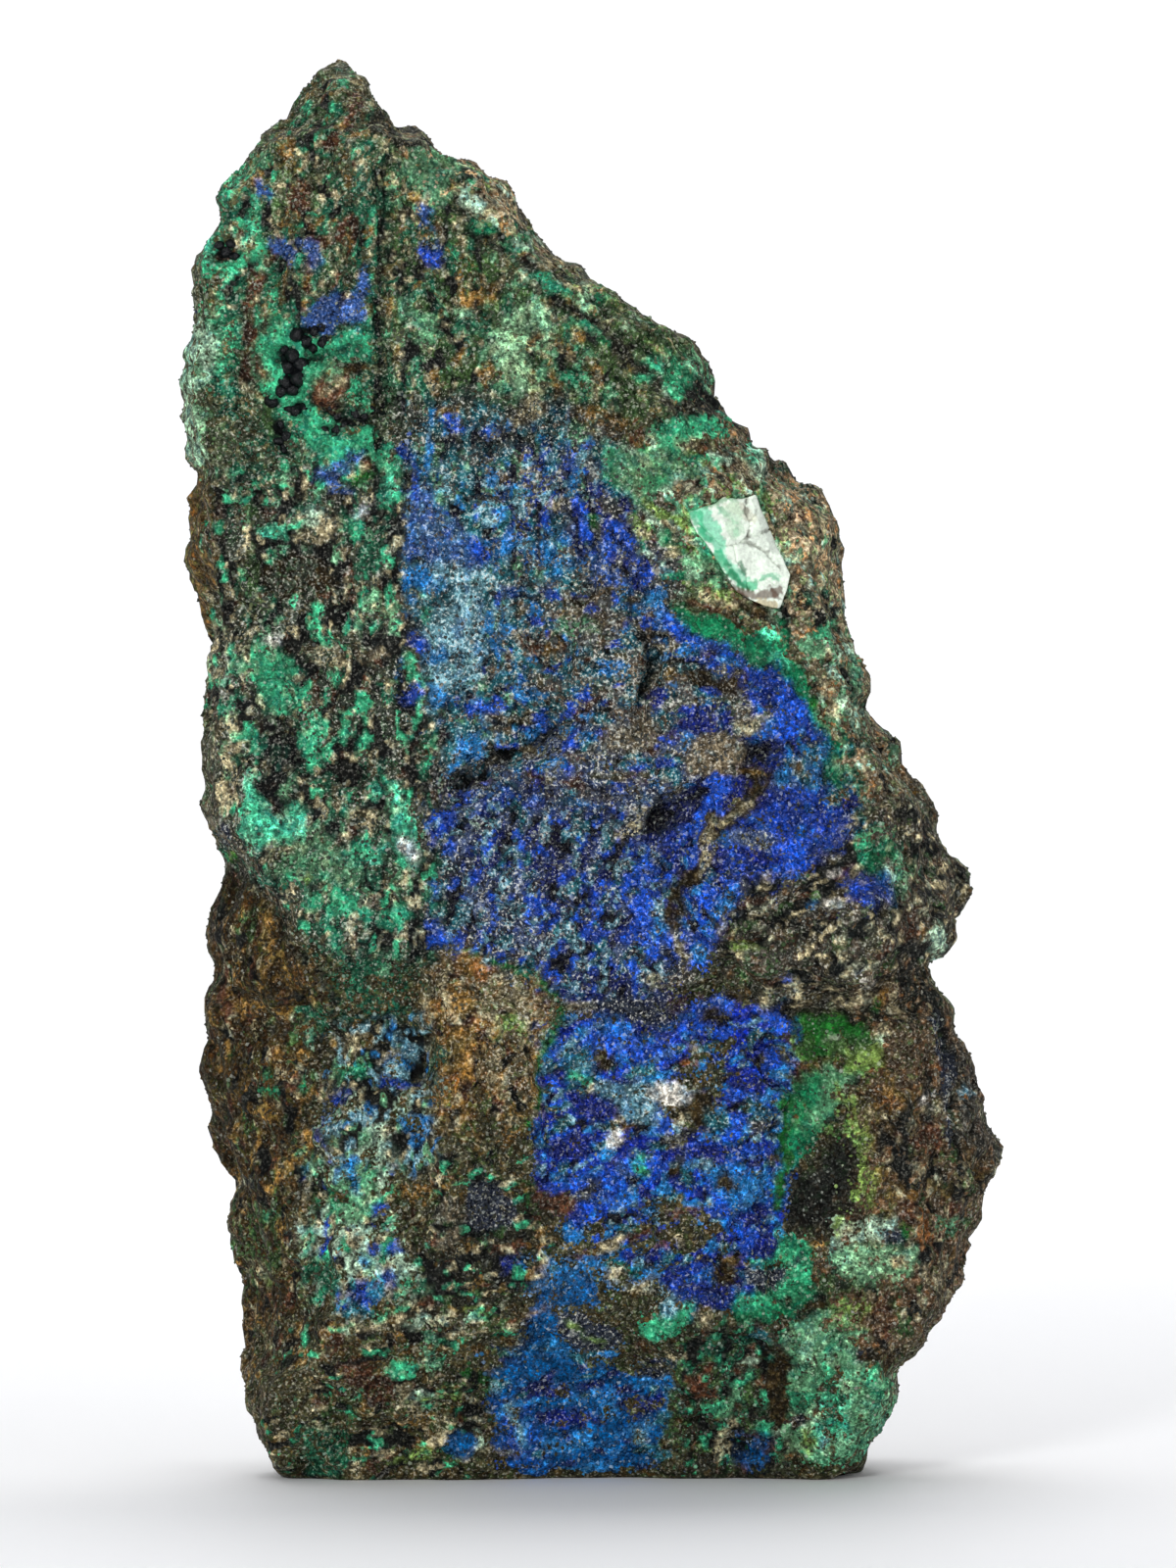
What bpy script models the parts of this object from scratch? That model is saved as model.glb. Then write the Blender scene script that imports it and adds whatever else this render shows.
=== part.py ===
"""Azurite specimen: one upright, broken slab of dark iron-stained rock.

The stone has a pointed top, a stepped left edge, a shoulder on its right and a
broad flat foot. It grew and broke as one piece, so it is one closed solid.
Metres, +Z up. The front face looks along -Y, and the origin is the middle of
the foot. Shapes are written in millimetres, and the last step scales them.
"""

import math

import bmesh
import bpy
import numpy as np
from mathutils import Vector, noise

NODE = "azurite_specimen"
METRE_PER_MM = 0.001

# How far the rock stands out in front of its widest outline and behind it.
FRONT_DEPTH = 18.0
BACK_DEPTH = 20.0
EDGE_ROUND = 2.2

# Outline seen from the front, clockwise from the tip: (x, z) in millimetres.
OUTLINE = [
    (-25.4, 145.2), (-23.2, 143.2), (-21.7, 140.6), (-19.9, 138.3), (-16.3, 135.9),
    (-13.4, 134.0), (-8.7, 131.9), (-7.0, 130.0), (-4.9, 126.0), (-2.1, 123.7),
    (1.3, 121.8), (5.3, 118.8), (10.6, 115.1), (12.5, 113.4), (12.4, 112.0),
    (14.1, 108.5), (16.7, 105.3), (20.1, 102.8), (24.3, 99.8), (25.8, 96.0),
    (26.1, 93.0), (25.8, 90.8), (26.9, 85.5), (29.0, 80.0), (29.7, 76.5),
    (32.2, 73.5), (32.4, 72.0), (33.8, 69.9), (35.0, 68.2), (36.1, 64.9),
    (37.1, 62.8), (38.8, 61.1), (39.3, 59.3), (38.1, 57.0), (36.6, 53.5),
    (35.8, 52.0), (34.6, 51.5), (36.1, 48.7), (37.7, 45.7), (39.2, 41.4),
    (40.5, 38.5), (40.4, 35.6), (41.6, 34.3), (41.9, 33.2), (41.2, 31.3),
    (41.0, 29.2), (39.9, 25.1), (38.7, 21.7), (38.5, 19.5), (36.8, 16.6),
    (33.8, 13.8), (31.7, 10.5), (31.5, 8.4), (30.3, 5.6), (28.7, 2.6),
    (26.8, 1.0), (22.5, 0.0), (18.5, 0.3), (15.3, 0.2), (12.6, -0.6),
    (10.3, 0.3), (7.4, 1.1), (4.1, 0.9), (0.1, 1.0), (-5.5, 1.0),
    (-8.7, 0.1), (-13.0, -0.7), (-15.9, -0.6), (-18.6, -1.4), (-21.5, -1.6),
    (-23.9, -0.8), (-25.2, 0.8), (-26.8, 0.2), (-28.5, 0.0), (-29.2, 0.5),
    (-31.2, 0.2), (-32.4, 2.0), (-34.3, 5.7), (-35.5, 10.7), (-35.1, 15.8),
    (-34.8, 20.0), (-35.8, 24.2), (-36.7, 30.0), (-38.4, 35.3), (-38.9, 40.0),
    (-39.4, 44.0), (-39.0, 47.5), (-39.3, 52.5), (-38.6, 56.5), (-37.8, 59.5),
    (-37.8, 61.0), (-37.0, 61.8), (-38.2, 65.0), (-38.8, 70.0), (-39.9, 74.5),
    (-39.4, 80.0), (-39.2, 84.5), (-39.7, 88.0), (-40.8, 92.5), (-40.8, 95.5),
    (-39.6, 98.0), (-40.3, 99.8), (-39.3, 101.0), (-41.1, 105.0), (-41.8, 109.0),
    (-41.5, 113.5), (-40.1, 116.0), (-40.1, 120.0), (-40.5, 122.7), (-38.9, 125.7),
    (-37.2, 127.5), (-38.0, 129.7), (-35.7, 131.5), (-34.4, 134.2), (-32.9, 136.5),
    (-30.7, 138.3), (-29.4, 140.0), (-28.1, 142.0), (-26.6, 144.6),
]

# Broken faces: (x and z of the crease, direction it falls away in degrees from
# +X, drop in depth for each millimetre past the crease).
FRONT_FACETS = [
    (-25.0, 137.0, 160.0, 0.45),
    (-31.0, 134.0, 152.0, 0.80),
    (-24.0, 132.0, 92.0, 1.25),
    (-36.0, 118.0, 172.0, 0.90),
    (-20.0, 133.5, 48.0, 0.60),
    (-13.0, 129.5, 52.0, 1.30),
    (13.0, 107.0, 36.0, 0.90),
    (28.0, 77.0, 26.0, 0.85),
    (-17.0, 107.0, 113.0, 0.16),
    (-35.5, 80.0, 180.0, 0.55),
    (-31.0, 40.0, 186.0, 0.90),
    (31.5, 34.0, 4.0, 0.95),
    (4.0, 15.0, -92.0, 0.45),
    (27.0, 13.0, -42.0, 0.60),
]
BACK_FACETS = [
    (-12.0, 64.0, 170.0, 0.34),
    (14.0, 52.0, 14.0, 0.40),
    (-8.0, 86.0, 82.0, 0.22),
    (-28.0, 112.0, 160.0, 1.60),
    (-33.0, 76.0, 184.0, 2.40),
    (-29.0, 34.0, 192.0, 1.50),
    (-8.0, 118.0, 56.0, 1.20),
    (12.0, 100.0, 36.0, 1.50),
    (24.0, 72.0, 24.0, 1.05),
    (31.0, 38.0, -2.0, 1.70),
    (22.0, 14.0, -44.0, 0.90),
    (0.0, 17.0, -96.0, 0.36),
    (-24.0, 130.0, 94.0, 1.50),
]

# Raised and sunken patches: (change in depth, width of the soft border, outline).
FRONT_PATCHES = [
    # the lower left side, broken back below the step
    (-4.0, 3.0, [
        (-46.0, 61.5), (-34.9, 61.2), (-32.4, 57.5), (-29.9, 53.0), (-25.4, 50.0),
        (-25.2, 41.0), (-26.4, 31.0), (-27.9, 20.0), (-30.5, 12.0), (-46.0, 12.0),
    ]),
    # the shoulder on the right: a broad swell, and the ledge that ends it below
    (2.2, 9.0, [
        (12.0, 62.0), (21.0, 66.0), (33.0, 66.0), (46.0, 66.0), (46.0, 50.0),
        (34.6, 49.6), (25.1, 46.6), (16.5, 48.0), (11.0, 53.0),
    ]),
    (2.0, 2.6, [
        (16.4, 57.0), (23.0, 60.5), (31.0, 59.5), (38.0, 62.0), (46.0, 63.0),
        (46.0, 52.0), (34.6, 50.8), (25.1, 47.4), (17.5, 48.8), (14.0, 52.6),
    ]),
    # the green-walled hollow below the shoulder, open towards the foot
    (-3.2, 6.5, [
        (20.6, 47.0), (28.0, 46.6), (31.6, 42.0), (30.4, 33.0), (29.0, 22.0),
        (24.0, 14.0), (18.6, 19.0), (17.0, 29.0), (18.6, 38.0),
    ]),
    # the broad swell in the middle
    (1.6, 9.0, [
        (-3.9, 77.0), (0.1, 85.5), (7.6, 88.0), (16.1, 84.5), (21.1, 77.0),
        (16.1, 69.0), (7.6, 65.5), (-1.1, 69.0),
    ]),
    # the dark hollow beside the ochre rib, and its deepest part
    (-1.6, 5.5, [
        (-24.6, 50.0), (-18.0, 52.0), (-15.4, 47.0), (-15.8, 38.0), (-17.8, 27.0),
        (-22.4, 24.0), (-26.2, 32.0), (-25.6, 43.0),
    ]),
    (-1.8, 3.2, [(-22.4, 46.4), (-18.4, 48.2), (-16.2, 43.0), (-18.4, 38.8), (-21.4, 41.4)]),
    # the pit beside the blue band
    (-2.0, 2.6, [(4.0, 66.0), (7.6, 70.0), (12.4, 69.0), (10.0, 65.4), (6.0, 63.4)]),
    # the pale plate that stands proud near the right edge
    (1.6, 1.2, [
        (10.3, 98.6), (13.4, 99.2), (17.6, 99.8), (19.8, 94.2), (20.9, 91.2),
        (19.6, 88.0), (16.6, 89.6), (12.6, 94.0),
    ]),
    # the ochre rib
    (1.3, 3.6, [
        (-15.4, 50.8), (-9.0, 52.4), (-3.0, 49.6), (-4.6, 43.0), (-6.6, 33.0),
        (-7.9, 22.0), (-13.0, 17.0), (-15.8, 32.0),
    ]),
    # the hollow above the foot, and the one beside it
    (-1.6, 6.0, [(-9.6, 13.0), (-1.0, 18.6), (8.8, 13.0), (10.4, -3.0), (-10.6, -3.0)]),
    (-1.8, 5.0, [(12.0, 14.5), (20.5, 12.0), (21.0, 4.0), (17.0, -3.0), (12.0, -3.0)]),
    # the sunken blue bed left of the shoulder's ledge
    (-1.3, 3.4, [
        (-4.0, 46.6), (8.0, 50.0), (19.0, 46.0), (17.6, 36.0), (17.0, 25.0),
        (9.0, 22.0), (3.0, 25.0), (-3.8, 30.0),
    ]),
    # the shallow vug high on the left, and worn places beside it
    (-0.9, 3.6, [(-33.8, 114.0), (-28.0, 118.0), (-22.4, 113.0), (-22.0, 104.6), (-30.0, 102.0)]),
    (-1.0, 4.6, [(-34.0, 92.0), (-27.0, 95.0), (-24.0, 84.0), (-26.0, 72.0), (-33.0, 74.0)]),
    (0.9, 5.0, [(-20.0, 96.0), (-12.0, 101.0), (-8.0, 90.0), (-12.0, 78.0), (-20.0, 82.0)]),
    (-0.9, 4.0, [(-30.0, 69.0), (-20.0, 66.0), (-17.0, 59.0), (-25.0, 57.0), (-31.0, 62.0)]),
]
BACK_PATCHES = [
    (-3.0, 7.0, [(-22.0, 96.0), (4.0, 101.0), (10.0, 80.0), (-8.0, 66.0), (-26.0, 74.0)]),
    (2.8, 2.4, [(-34.0, 52.0), (-12.0, 57.0), (6.0, 50.0), (2.0, 30.0), (-20.0, 24.0), (-34.0, 34.0)]),
    (-2.6, 3.2, [(10.0, 46.0), (27.0, 50.0), (36.0, 36.0), (24.0, 24.0), (12.0, 30.0)]),
    (2.0, 3.0, [(6.0, 74.0), (22.0, 76.0), (26.0, 62.0), (12.0, 58.0)]),
    (-1.8, 3.0, [(-14.0, 124.0), (-2.0, 116.0), (-8.0, 106.0), (-20.0, 112.0)]),
]

# Ribs (up) and grooves (down): (change in depth, half width, path).
FRONT_PATHS = [
    (-1.3, 1.3, [(-19.6, 133.0), (-19.9, 125.0), (-20.9, 116.0), (-20.7, 105.0)]),
    (1.0, 2.2, [(-25.0, 143.0), (-22.6, 134.0), (-23.4, 124.0)]),
    (-1.9, 1.4, [(-2.4, 77.6), (-5.9, 74.0), (-9.9, 72.0), (-14.0, 69.6)]),
    (-1.2, 0.9, [(6.9, 84.0), (6.3, 80.6), (5.2, 75.0)]),
    (0.9, 1.8, [(15.4, 69.0), (12.6, 64.5), (9.9, 58.6)]),
    (-2.2, 1.8, [(13.2, 47.2), (20.1, 46.9), (27.5, 47.6), (35.2, 50.6)]),
    (0.8, 1.8, [(7.0, 87.4), (13.6, 84.0), (17.6, 80.0), (21.2, 74.0), (25.0, 66.0)]),
    (-0.8, 1.4, [(-9.9, 43.6), (-10.8, 37.0), (-9.6, 31.0), (-10.2, 22.0)]),
    (0.8, 1.5, [(1.0, 21.4), (7.4, 24.6), (13.8, 25.4)]),
    (-1.2, 1.6, [(-34.8, 98.0), (-33.6, 86.0), (-34.4, 74.0)]),
    (-1.1, 1.8, [(2.0, 108.6), (9.0, 110.0), (15.4, 104.0)]),
    (-0.9, 1.6, [(-16.0, 122.0), (-6.0, 117.0), (1.0, 112.0)]),
    (0.9, 1.8, [(-31.0, 134.0), (-28.0, 124.0), (-30.0, 116.0)]),
]
BACK_PATHS = [
    (-2.4, 1.8, [(-30.0, 66.0), (-14.0, 61.0), (2.0, 63.0), (16.0, 55.0)]),
    (1.6, 2.0, [(-4.0, 132.0), (-10.0, 112.0), (-8.0, 98.0)]),
    (-1.8, 1.6, [(22.0, 90.0), (14.0, 78.0), (16.0, 66.0)]),
    (-1.6, 1.5, [(-18.0, 44.0), (-14.0, 28.0), (-18.0, 12.0)]),
]

# The foot: inside this outline, (x, y) from below, the underside hangs down and
# is then cut off flat.
FOOT_DROP = 5.4
FOOT_REACH = 9.0
FOOT_BORDER = 7.0
FOOT_OUTLINE = [
    (-29.0, -6.0), (-24.0, -10.5), (-11.0, -11.5), (-4.0, -7.5), (6.0, -7.0),
    (13.0, -10.5), (23.0, -9.5), (27.0, -3.0), (25.0, 6.0), (14.0, 11.0),
    (3.0, 13.5), (-9.0, 10.0), (-20.0, 12.5), (-28.0, 7.0),
]

# Roughness of the broken surface: (height, size) of lumps and of flat chips.
LUMPS = [(1.3, 17.0), (0.9, 6.5)]
CHIPS = [(1.1, 13.0), (0.9, 6.0)]
CHIP_TILT = 2.0
CHIP_STEP = 0.6
CHIP_SHUFFLE = 9.0
NOISE_ORIGIN = Vector((3.7, 11.3, 5.1))

# The sides are widest along a line that wanders between front and back, slope
# in on both sides of it, and have flakes missing behind it.
RIM_WIDTH = 1.6
RIM_CALM = 0.2
RIM_GROWTH = -0.15
FRONT_SLOPE = 1.7
BACK_SLOPE = 4.6
SLOPE_CURVE = 1.5
TIP_Z = 146.0
TIP_REACH = 16.0
SIDE_WANDER = 1.1
SIDE_WAVE = 15.0
FLAKE_DEPTH = 4.0
FLAKE_SIZE = 17.0
FLAKE_START = 0.5

# Borders of patches waver this far, in waves of this size.
BORDER_WOBBLE = 3.0
BORDER_WOBBLE_SIZE = 5.0
THINNEST = 2.0

VOXEL = 0.95
SMOOTH_PASSES = 2
TRIANGLES = 9300


def clear_scene():
    """Remove whatever the file held."""
    for item in list(bpy.data.objects):
        bpy.data.objects.remove(item, do_unlink=True)


def new_object(name, bm):
    """Put a finished bmesh in the scene under a name."""
    mesh = bpy.data.meshes.new(name)
    bm.to_mesh(mesh)
    bm.free()
    item = bpy.data.objects.new(name, mesh)
    bpy.context.collection.objects.link(item)
    return item


def apply_modifiers(item):
    """Turn an object's modifiers into its own mesh."""
    graph = bpy.context.evaluated_depsgraph_get()
    finished = bpy.data.meshes.new_from_object(item.evaluated_get(graph))
    item.modifiers.clear()
    item.data = finished


def make_slab():
    """Extrude the outline one unit forwards and one back, and remesh it evenly."""
    bm = bmesh.new()
    half = FRONT_DEPTH
    corners = [bm.verts.new((x, -half, z)) for x, z in OUTLINE]
    face = bm.faces.new(corners)
    grown = bmesh.ops.extrude_face_region(bm, geom=[face])["geom"]
    moved = [part for part in grown if isinstance(part, bmesh.types.BMVert)]
    bmesh.ops.translate(bm, verts=moved, vec=(0.0, 2.0 * half, 0.0))
    bmesh.ops.recalc_face_normals(bm, faces=bm.faces)
    slab = new_object(NODE, bm)
    remesh = slab.modifiers.new("even_mesh", "REMESH")
    remesh.mode = "VOXEL"
    remesh.voxel_size = VOXEL
    apply_modifiers(slab)
    return slab


def distance_to_path(x, z, path):
    """Distance of every point from a chain of straight stretches."""
    nearest = np.full(x.shape, 1.0e9)
    for (ax, az), (bx, bz) in zip(path[:-1], path[1:]):
        run_x, run_z = bx - ax, bz - az
        along = ((x - ax) * run_x + (z - az) * run_z) / (run_x ** 2 + run_z ** 2)
        along = np.clip(along, 0.0, 1.0)
        gap = np.hypot(x - ax - along * run_x, z - az - along * run_z)
        nearest = np.minimum(nearest, gap)
    return nearest


def is_inside(x, z, outline):
    """Whether every point lies inside a closed outline, by counting crossings."""
    crossings = np.zeros(x.shape, dtype=int)
    for (ax, az), (bx, bz) in zip(outline, outline[1:] + outline[:1]):
        if az == bz:
            continue
        spans = (az > z) != (bz > z)
        meets = ax + (z - az) * (bx - ax) / (bz - az)
        crossings += spans & (x < meets)
    return crossings % 2 == 1


def smooth_step(value):
    """Ease from 0 to 1 as a value goes from 0 to 1."""
    value = np.clip(value, 0.0, 1.0)
    return value * value * (3.0 - 2.0 * value)


def patch_cover(x, z, outline, border, wobble=0.0):
    """1 inside an outline and 0 outside it, easing across its wavering border."""
    gap = distance_to_path(x, z, outline + outline[:1])
    signed = np.where(is_inside(x, z, outline), gap, -gap) + wobble
    return smooth_step(0.5 + signed / border)


def border_wobble(x, z):
    """How far borders stray from their outlines at every point."""
    flat = [Vector((a, 0.0, b)) / BORDER_WOBBLE_SIZE for a, b in zip(x, z)]
    return BORDER_WOBBLE * np.array([noise.noise(place) for place in flat])


def facet_depth(x, z, full_depth, facets):
    """Depth left once each broken face has cut its corner away."""
    depth = np.full(x.shape, full_depth)
    for crease_x, crease_z, heading, drop in facets:
        way_x, way_z = math.cos(math.radians(heading)), math.sin(math.radians(heading))
        past = (x - crease_x) * way_x + (z - crease_z) * way_z
        depth = np.minimum(depth, full_depth - drop * past)
    return depth


def side_depth(x, z, full_depth, facets, patches, paths):
    """Depth of one side of the rock: its facets, patches, ribs and rounded edge."""
    depth = facet_depth(x, z, full_depth, facets)
    wobble = border_wobble(x, z)
    for change, border, outline in patches:
        depth += change * patch_cover(x, z, outline, border, wobble)
    for change, half_width, path in paths:
        gap = np.maximum(distance_to_path(x, z, path) + 0.5 * wobble, 0.0)
        depth += change * (1.0 - smooth_step(gap / (2.0 * half_width)))
    rim = np.clip(distance_to_path(x, z, OUTLINE + OUTLINE[:1]) / EDGE_ROUND, 0.0, 1.0)
    depth -= EDGE_ROUND * (1.0 - np.sqrt(1.0 - (1.0 - rim) ** 2))
    return np.maximum(depth, THINNEST)


def shape_sides(points):
    """Give the even slab its own depth in front and behind at every point."""
    x, y, z = points.T
    share = y / FRONT_DEPTH
    front = side_depth(x, z, FRONT_DEPTH, FRONT_FACETS, FRONT_PATCHES, FRONT_PATHS)
    back = side_depth(x, z, BACK_DEPTH, BACK_FACETS, BACK_PATCHES, BACK_PATHS)
    new_y = np.where(share < 0.0, share * front, share * back)
    low = smooth_step(1.0 - z / FOOT_REACH)
    new_z = z - FOOT_DROP * low * patch_cover(x, new_y, FOOT_OUTLINE, FOOT_BORDER)
    return np.stack([x, new_y, new_z], axis=1), share


def chip_height(point, size):
    """Height of flat chips, each about one size across and tilted its own way."""
    scaled = point / size
    centre = noise.voronoi(scaled)[1][0]
    tilt = noise.cell_vector(centre * CHIP_SHUFFLE) - Vector((0.5, 0.5, 0.5))
    return CHIP_TILT * tilt.dot(scaled - centre) + CHIP_STEP * tilt.x


def roughness(point):
    """Height of the broken surface's lumps and chips at a point."""
    place = point + NOISE_ORIGIN
    height = sum(tall * noise.noise(place / size) for tall, size in LUMPS)
    height += sum(tall * chip_height(place, size) for tall, size in CHIPS)
    return height


def side_slope(point, share):
    """How far a side has drawn in from its widest line at a point."""
    along = Vector((point.x, 0.0, point.z)) + NOISE_ORIGIN
    widest = SIDE_WANDER * noise.noise(along / SIDE_WAVE)
    slope = FRONT_SLOPE if share < widest else BACK_SLOPE
    return slope * abs(share - widest) ** SLOPE_CURVE


def flake(point):
    """Depth of the big flakes that are missing behind the rim."""
    return FLAKE_DEPTH * max(noise.noise((point - NOISE_ORIGIN) / FLAKE_SIZE), 0.0)


def roughen(mesh, points, share):
    """Push the surface in and out, and keep its rim close to the outline."""
    normals = np.empty(len(points) * 3)
    mesh.vertices.foreach_get("normal", normals)
    normals = normals.reshape(-1, 3)
    places = [Vector(point) for point in points]
    heights = np.array([roughness(place) for place in places])
    flakes = np.array([flake(place) for place in places])
    slopes = np.array([side_slope(place, part) for place, part in zip(places, share)])
    rim = smooth_step(RIM_WIDTH * (1.0 - np.abs(normals[:, 1])))
    heights = heights * (1.0 - RIM_CALM * rim) + RIM_GROWTH * rim
    between = smooth_step(points[:, 2] / FOOT_REACH) * smooth_step((TIP_Z - points[:, 2]) / TIP_REACH)
    heights -= rim * between * (slopes + flakes * smooth_step(share / FLAKE_START))
    return points + normals * heights[:, None]


def sculpt(item):
    """Turn the even slab into the broken rock."""
    mesh = item.data
    points = np.empty(len(mesh.vertices) * 3)
    mesh.vertices.foreach_get("co", points)
    points, share = shape_sides(points.reshape(-1, 3))
    mesh.vertices.foreach_set("co", points.ravel())
    mesh.update()
    points = roughen(mesh, points, share)
    mesh.vertices.foreach_set("co", points.ravel())
    mesh.update()


def settle_mesh(item):
    """Relax the voxel steps and bring the triangles down to the few it needs."""
    relax = item.modifiers.new("relax", "SMOOTH")
    relax.factor = 0.5
    relax.iterations = SMOOTH_PASSES
    thin_out = item.modifiers.new("thin_out", "DECIMATE")
    thin_out.decimate_type = "COLLAPSE"
    thin_out.use_collapse_triangulate = True
    thin_out.ratio = TRIANGLES / (2.0 * len(item.data.polygons))
    apply_modifiers(item)


def cut_foot(item):
    """Cut the underside off flat at z = 0, and close the cut."""
    bm = bmesh.new()
    bm.from_mesh(item.data)
    whole = bm.verts[:] + bm.edges[:] + bm.faces[:]
    cut = bmesh.ops.bisect_plane(
        bm, geom=whole, dist=1.0e-4, plane_co=(0.0, 0.0, 0.0), plane_no=(0.0, 0.0, -1.0),
        clear_outer=True,
    )
    rim = [part for part in cut["geom_cut"] if isinstance(part, bmesh.types.BMEdge)]
    bmesh.ops.holes_fill(bm, edges=rim, sides=0)
    bmesh.ops.triangulate(bm, faces=bm.faces[:])
    bm.to_mesh(item.data)
    bm.free()


def place_and_scale(item):
    """Centre the rock over the origin, in metres."""
    mesh = item.data
    points = np.empty(len(mesh.vertices) * 3)
    mesh.vertices.foreach_get("co", points)
    points = points.reshape(-1, 3)
    middle = (points.min(axis=0) + points.max(axis=0)) / 2.0
    points -= (middle[0], middle[1], 0.0)
    mesh.vertices.foreach_set("co", (points * METRE_PER_MM).ravel())
    mesh.update()


def stone_material():
    """Dark iron-stained rock."""
    stone = bpy.data.materials.new("iron_stained_rock")
    stone.use_nodes = True
    shader = stone.node_tree.nodes["Principled BSDF"]
    shader.inputs["Base Color"].default_value = (0.045, 0.050, 0.052, 1.0)
    shader.inputs["Roughness"].default_value = 0.75
    shader.inputs["Metallic"].default_value = 0.0
    return stone


def make_specimen():
    """Build the stone from slab to finished solid."""
    stone = make_slab()
    sculpt(stone)
    settle_mesh(stone)
    cut_foot(stone)
    place_and_scale(stone)
    stone.data.materials.append(stone_material())


clear_scene()
make_specimen()
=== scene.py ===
import math

import bmesh
import bpy
import numpy as np
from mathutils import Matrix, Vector, noise
from mathutils.bvhtree import BVHTree


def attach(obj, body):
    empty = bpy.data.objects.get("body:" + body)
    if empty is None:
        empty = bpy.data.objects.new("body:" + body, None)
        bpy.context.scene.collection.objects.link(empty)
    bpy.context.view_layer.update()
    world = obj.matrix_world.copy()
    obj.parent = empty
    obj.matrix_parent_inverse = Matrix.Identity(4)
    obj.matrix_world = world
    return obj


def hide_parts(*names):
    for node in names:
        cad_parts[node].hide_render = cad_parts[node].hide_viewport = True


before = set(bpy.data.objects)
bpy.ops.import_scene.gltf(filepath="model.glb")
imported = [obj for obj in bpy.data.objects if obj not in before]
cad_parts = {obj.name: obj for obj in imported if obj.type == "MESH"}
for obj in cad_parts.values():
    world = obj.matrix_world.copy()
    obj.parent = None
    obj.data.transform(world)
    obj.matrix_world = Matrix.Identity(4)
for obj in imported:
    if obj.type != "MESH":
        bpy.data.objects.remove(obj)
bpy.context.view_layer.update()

scene = bpy.context.scene
scene.view_settings.view_transform = "Standard"
scene.view_settings.look = "None"


# ---------------------------------------------------------------- camera
# Straight in front of the stone at arm's length, level with the middle of its
# height. The stone's widest outline lies on the sheet that the frame measures
# as 120 x 160 mm, so that one frame unit there is a tenth of a millimetre.
TENTH = 0.0001
FRAME_WIDE, FRAME_HIGH = 1200, 1600
FRAME_MIDDLE_X, FRAME_FLOOR_Y = 605, 1500
SHEET_Y = 0.0
EYE_DISTANCE = 0.80
SENSOR = 36.0

eye_height = (FRAME_FLOOR_Y - FRAME_HIGH / 2) * TENTH
eye_x = (FRAME_WIDE / 2 - FRAME_MIDDLE_X) * TENTH
camera_data = bpy.data.cameras.new("camera")
camera_data.sensor_width = SENSOR
camera_data.lens = SENSOR * EYE_DISTANCE / (FRAME_HIGH * TENTH)
camera = bpy.data.objects.new("camera", camera_data)
camera.location = (eye_x, SHEET_Y - EYE_DISTANCE, eye_height)
camera.rotation_euler = (math.radians(90.0), 0.0, 0.0)
scene.collection.objects.link(camera)
scene.camera = camera


# ---------------------------------------------------------------- table and light
# A pale sheet lies under the stone and curves up behind it. A bright lamp stands
# in front on the left, weaker ones on the right and above, and one lights the wall.
FLOOR_HALF_WIDTH = 1.6
FLOOR_FRONT, FLOOR_BACK, BEND_RADIUS, WALL_TOP = -1.4, 1.25, 0.20, 2.2
BEND_STEPS = 16
SHEET_COLOUR, SHEET_ROUGHNESS = (0.93, 0.93, 0.935), 0.6

profile = [(FLOOR_FRONT, 0.0)]
for step in range(BEND_STEPS + 1):
    turn = math.radians(90.0) * step / BEND_STEPS
    profile.append((FLOOR_BACK + BEND_RADIUS * math.sin(turn), BEND_RADIUS * (1 - math.cos(turn))))
profile.append((FLOOR_BACK + BEND_RADIUS, WALL_TOP))
sheet_points = [(side * FLOOR_HALF_WIDTH, y, z) for y, z in profile for side in (-1, 1)]
sheet_faces = [(2 * i, 2 * i + 1, 2 * i + 3, 2 * i + 2) for i in range(len(profile) - 1)]
sheet_mesh = bpy.data.meshes.new("table_sheet")
sheet_mesh.from_pydata(sheet_points, [], sheet_faces)
sheet_mesh.shade_smooth()
sheet = bpy.data.objects.new("table_sheet", sheet_mesh)
scene.collection.objects.link(sheet)
sheet_finish = bpy.data.materials.new("table_sheet")
sheet_finish.use_nodes = True
sheet_shader = sheet_finish.node_tree.nodes["Principled BSDF"]
sheet_shader.inputs["Base Color"].default_value = (*SHEET_COLOUR, 1.0)
sheet_shader.inputs["Roughness"].default_value = SHEET_ROUGHNESS
sheet_mesh.materials.append(sheet_finish)

# name, place, what it is aimed at, size across, watts
STONE_MIDDLE, WALL_MIDDLE = (0.0, 0.0, eye_height), (0.0, 1.40, 0.15)
LAMPS = [
    ("key_lamp", (-0.26, -0.88, 0.33), STONE_MIDDLE, 0.16, 4.15),
    ("fill_lamp", (0.75, -0.70, 0.35), STONE_MIDDLE, 0.60, 1.3),
    ("top_lamp", (-0.10, 0.10, 0.95), STONE_MIDDLE, 0.70, 0.9),
    ("wall_lamp", (0.0, 0.60, 1.30), WALL_MIDDLE, 1.00, 14.0),
]
ROOM_COLOUR, ROOM_STRENGTH = (0.93, 0.95, 1.0, 1.0), 0.34

for lamp_name, lamp_place, target, lamp_size, watts in LAMPS:
    lamp_data = bpy.data.lights.new(lamp_name, "AREA")
    lamp_data.size = lamp_size
    lamp_data.energy = watts
    lamp = bpy.data.objects.new(lamp_name, lamp_data)
    lamp.location = lamp_place
    lamp.rotation_euler = (Vector(target) - Vector(lamp_place)).to_track_quat("-Z", "Y").to_euler()
    scene.collection.objects.link(lamp)

room = bpy.data.worlds.new("pale_room")
room.use_nodes = True
backdrop = room.node_tree.nodes["Background"].inputs
backdrop["Color"].default_value = ROOM_COLOUR
backdrop["Strength"].default_value = ROOM_STRENGTH
scene.world = room


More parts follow.
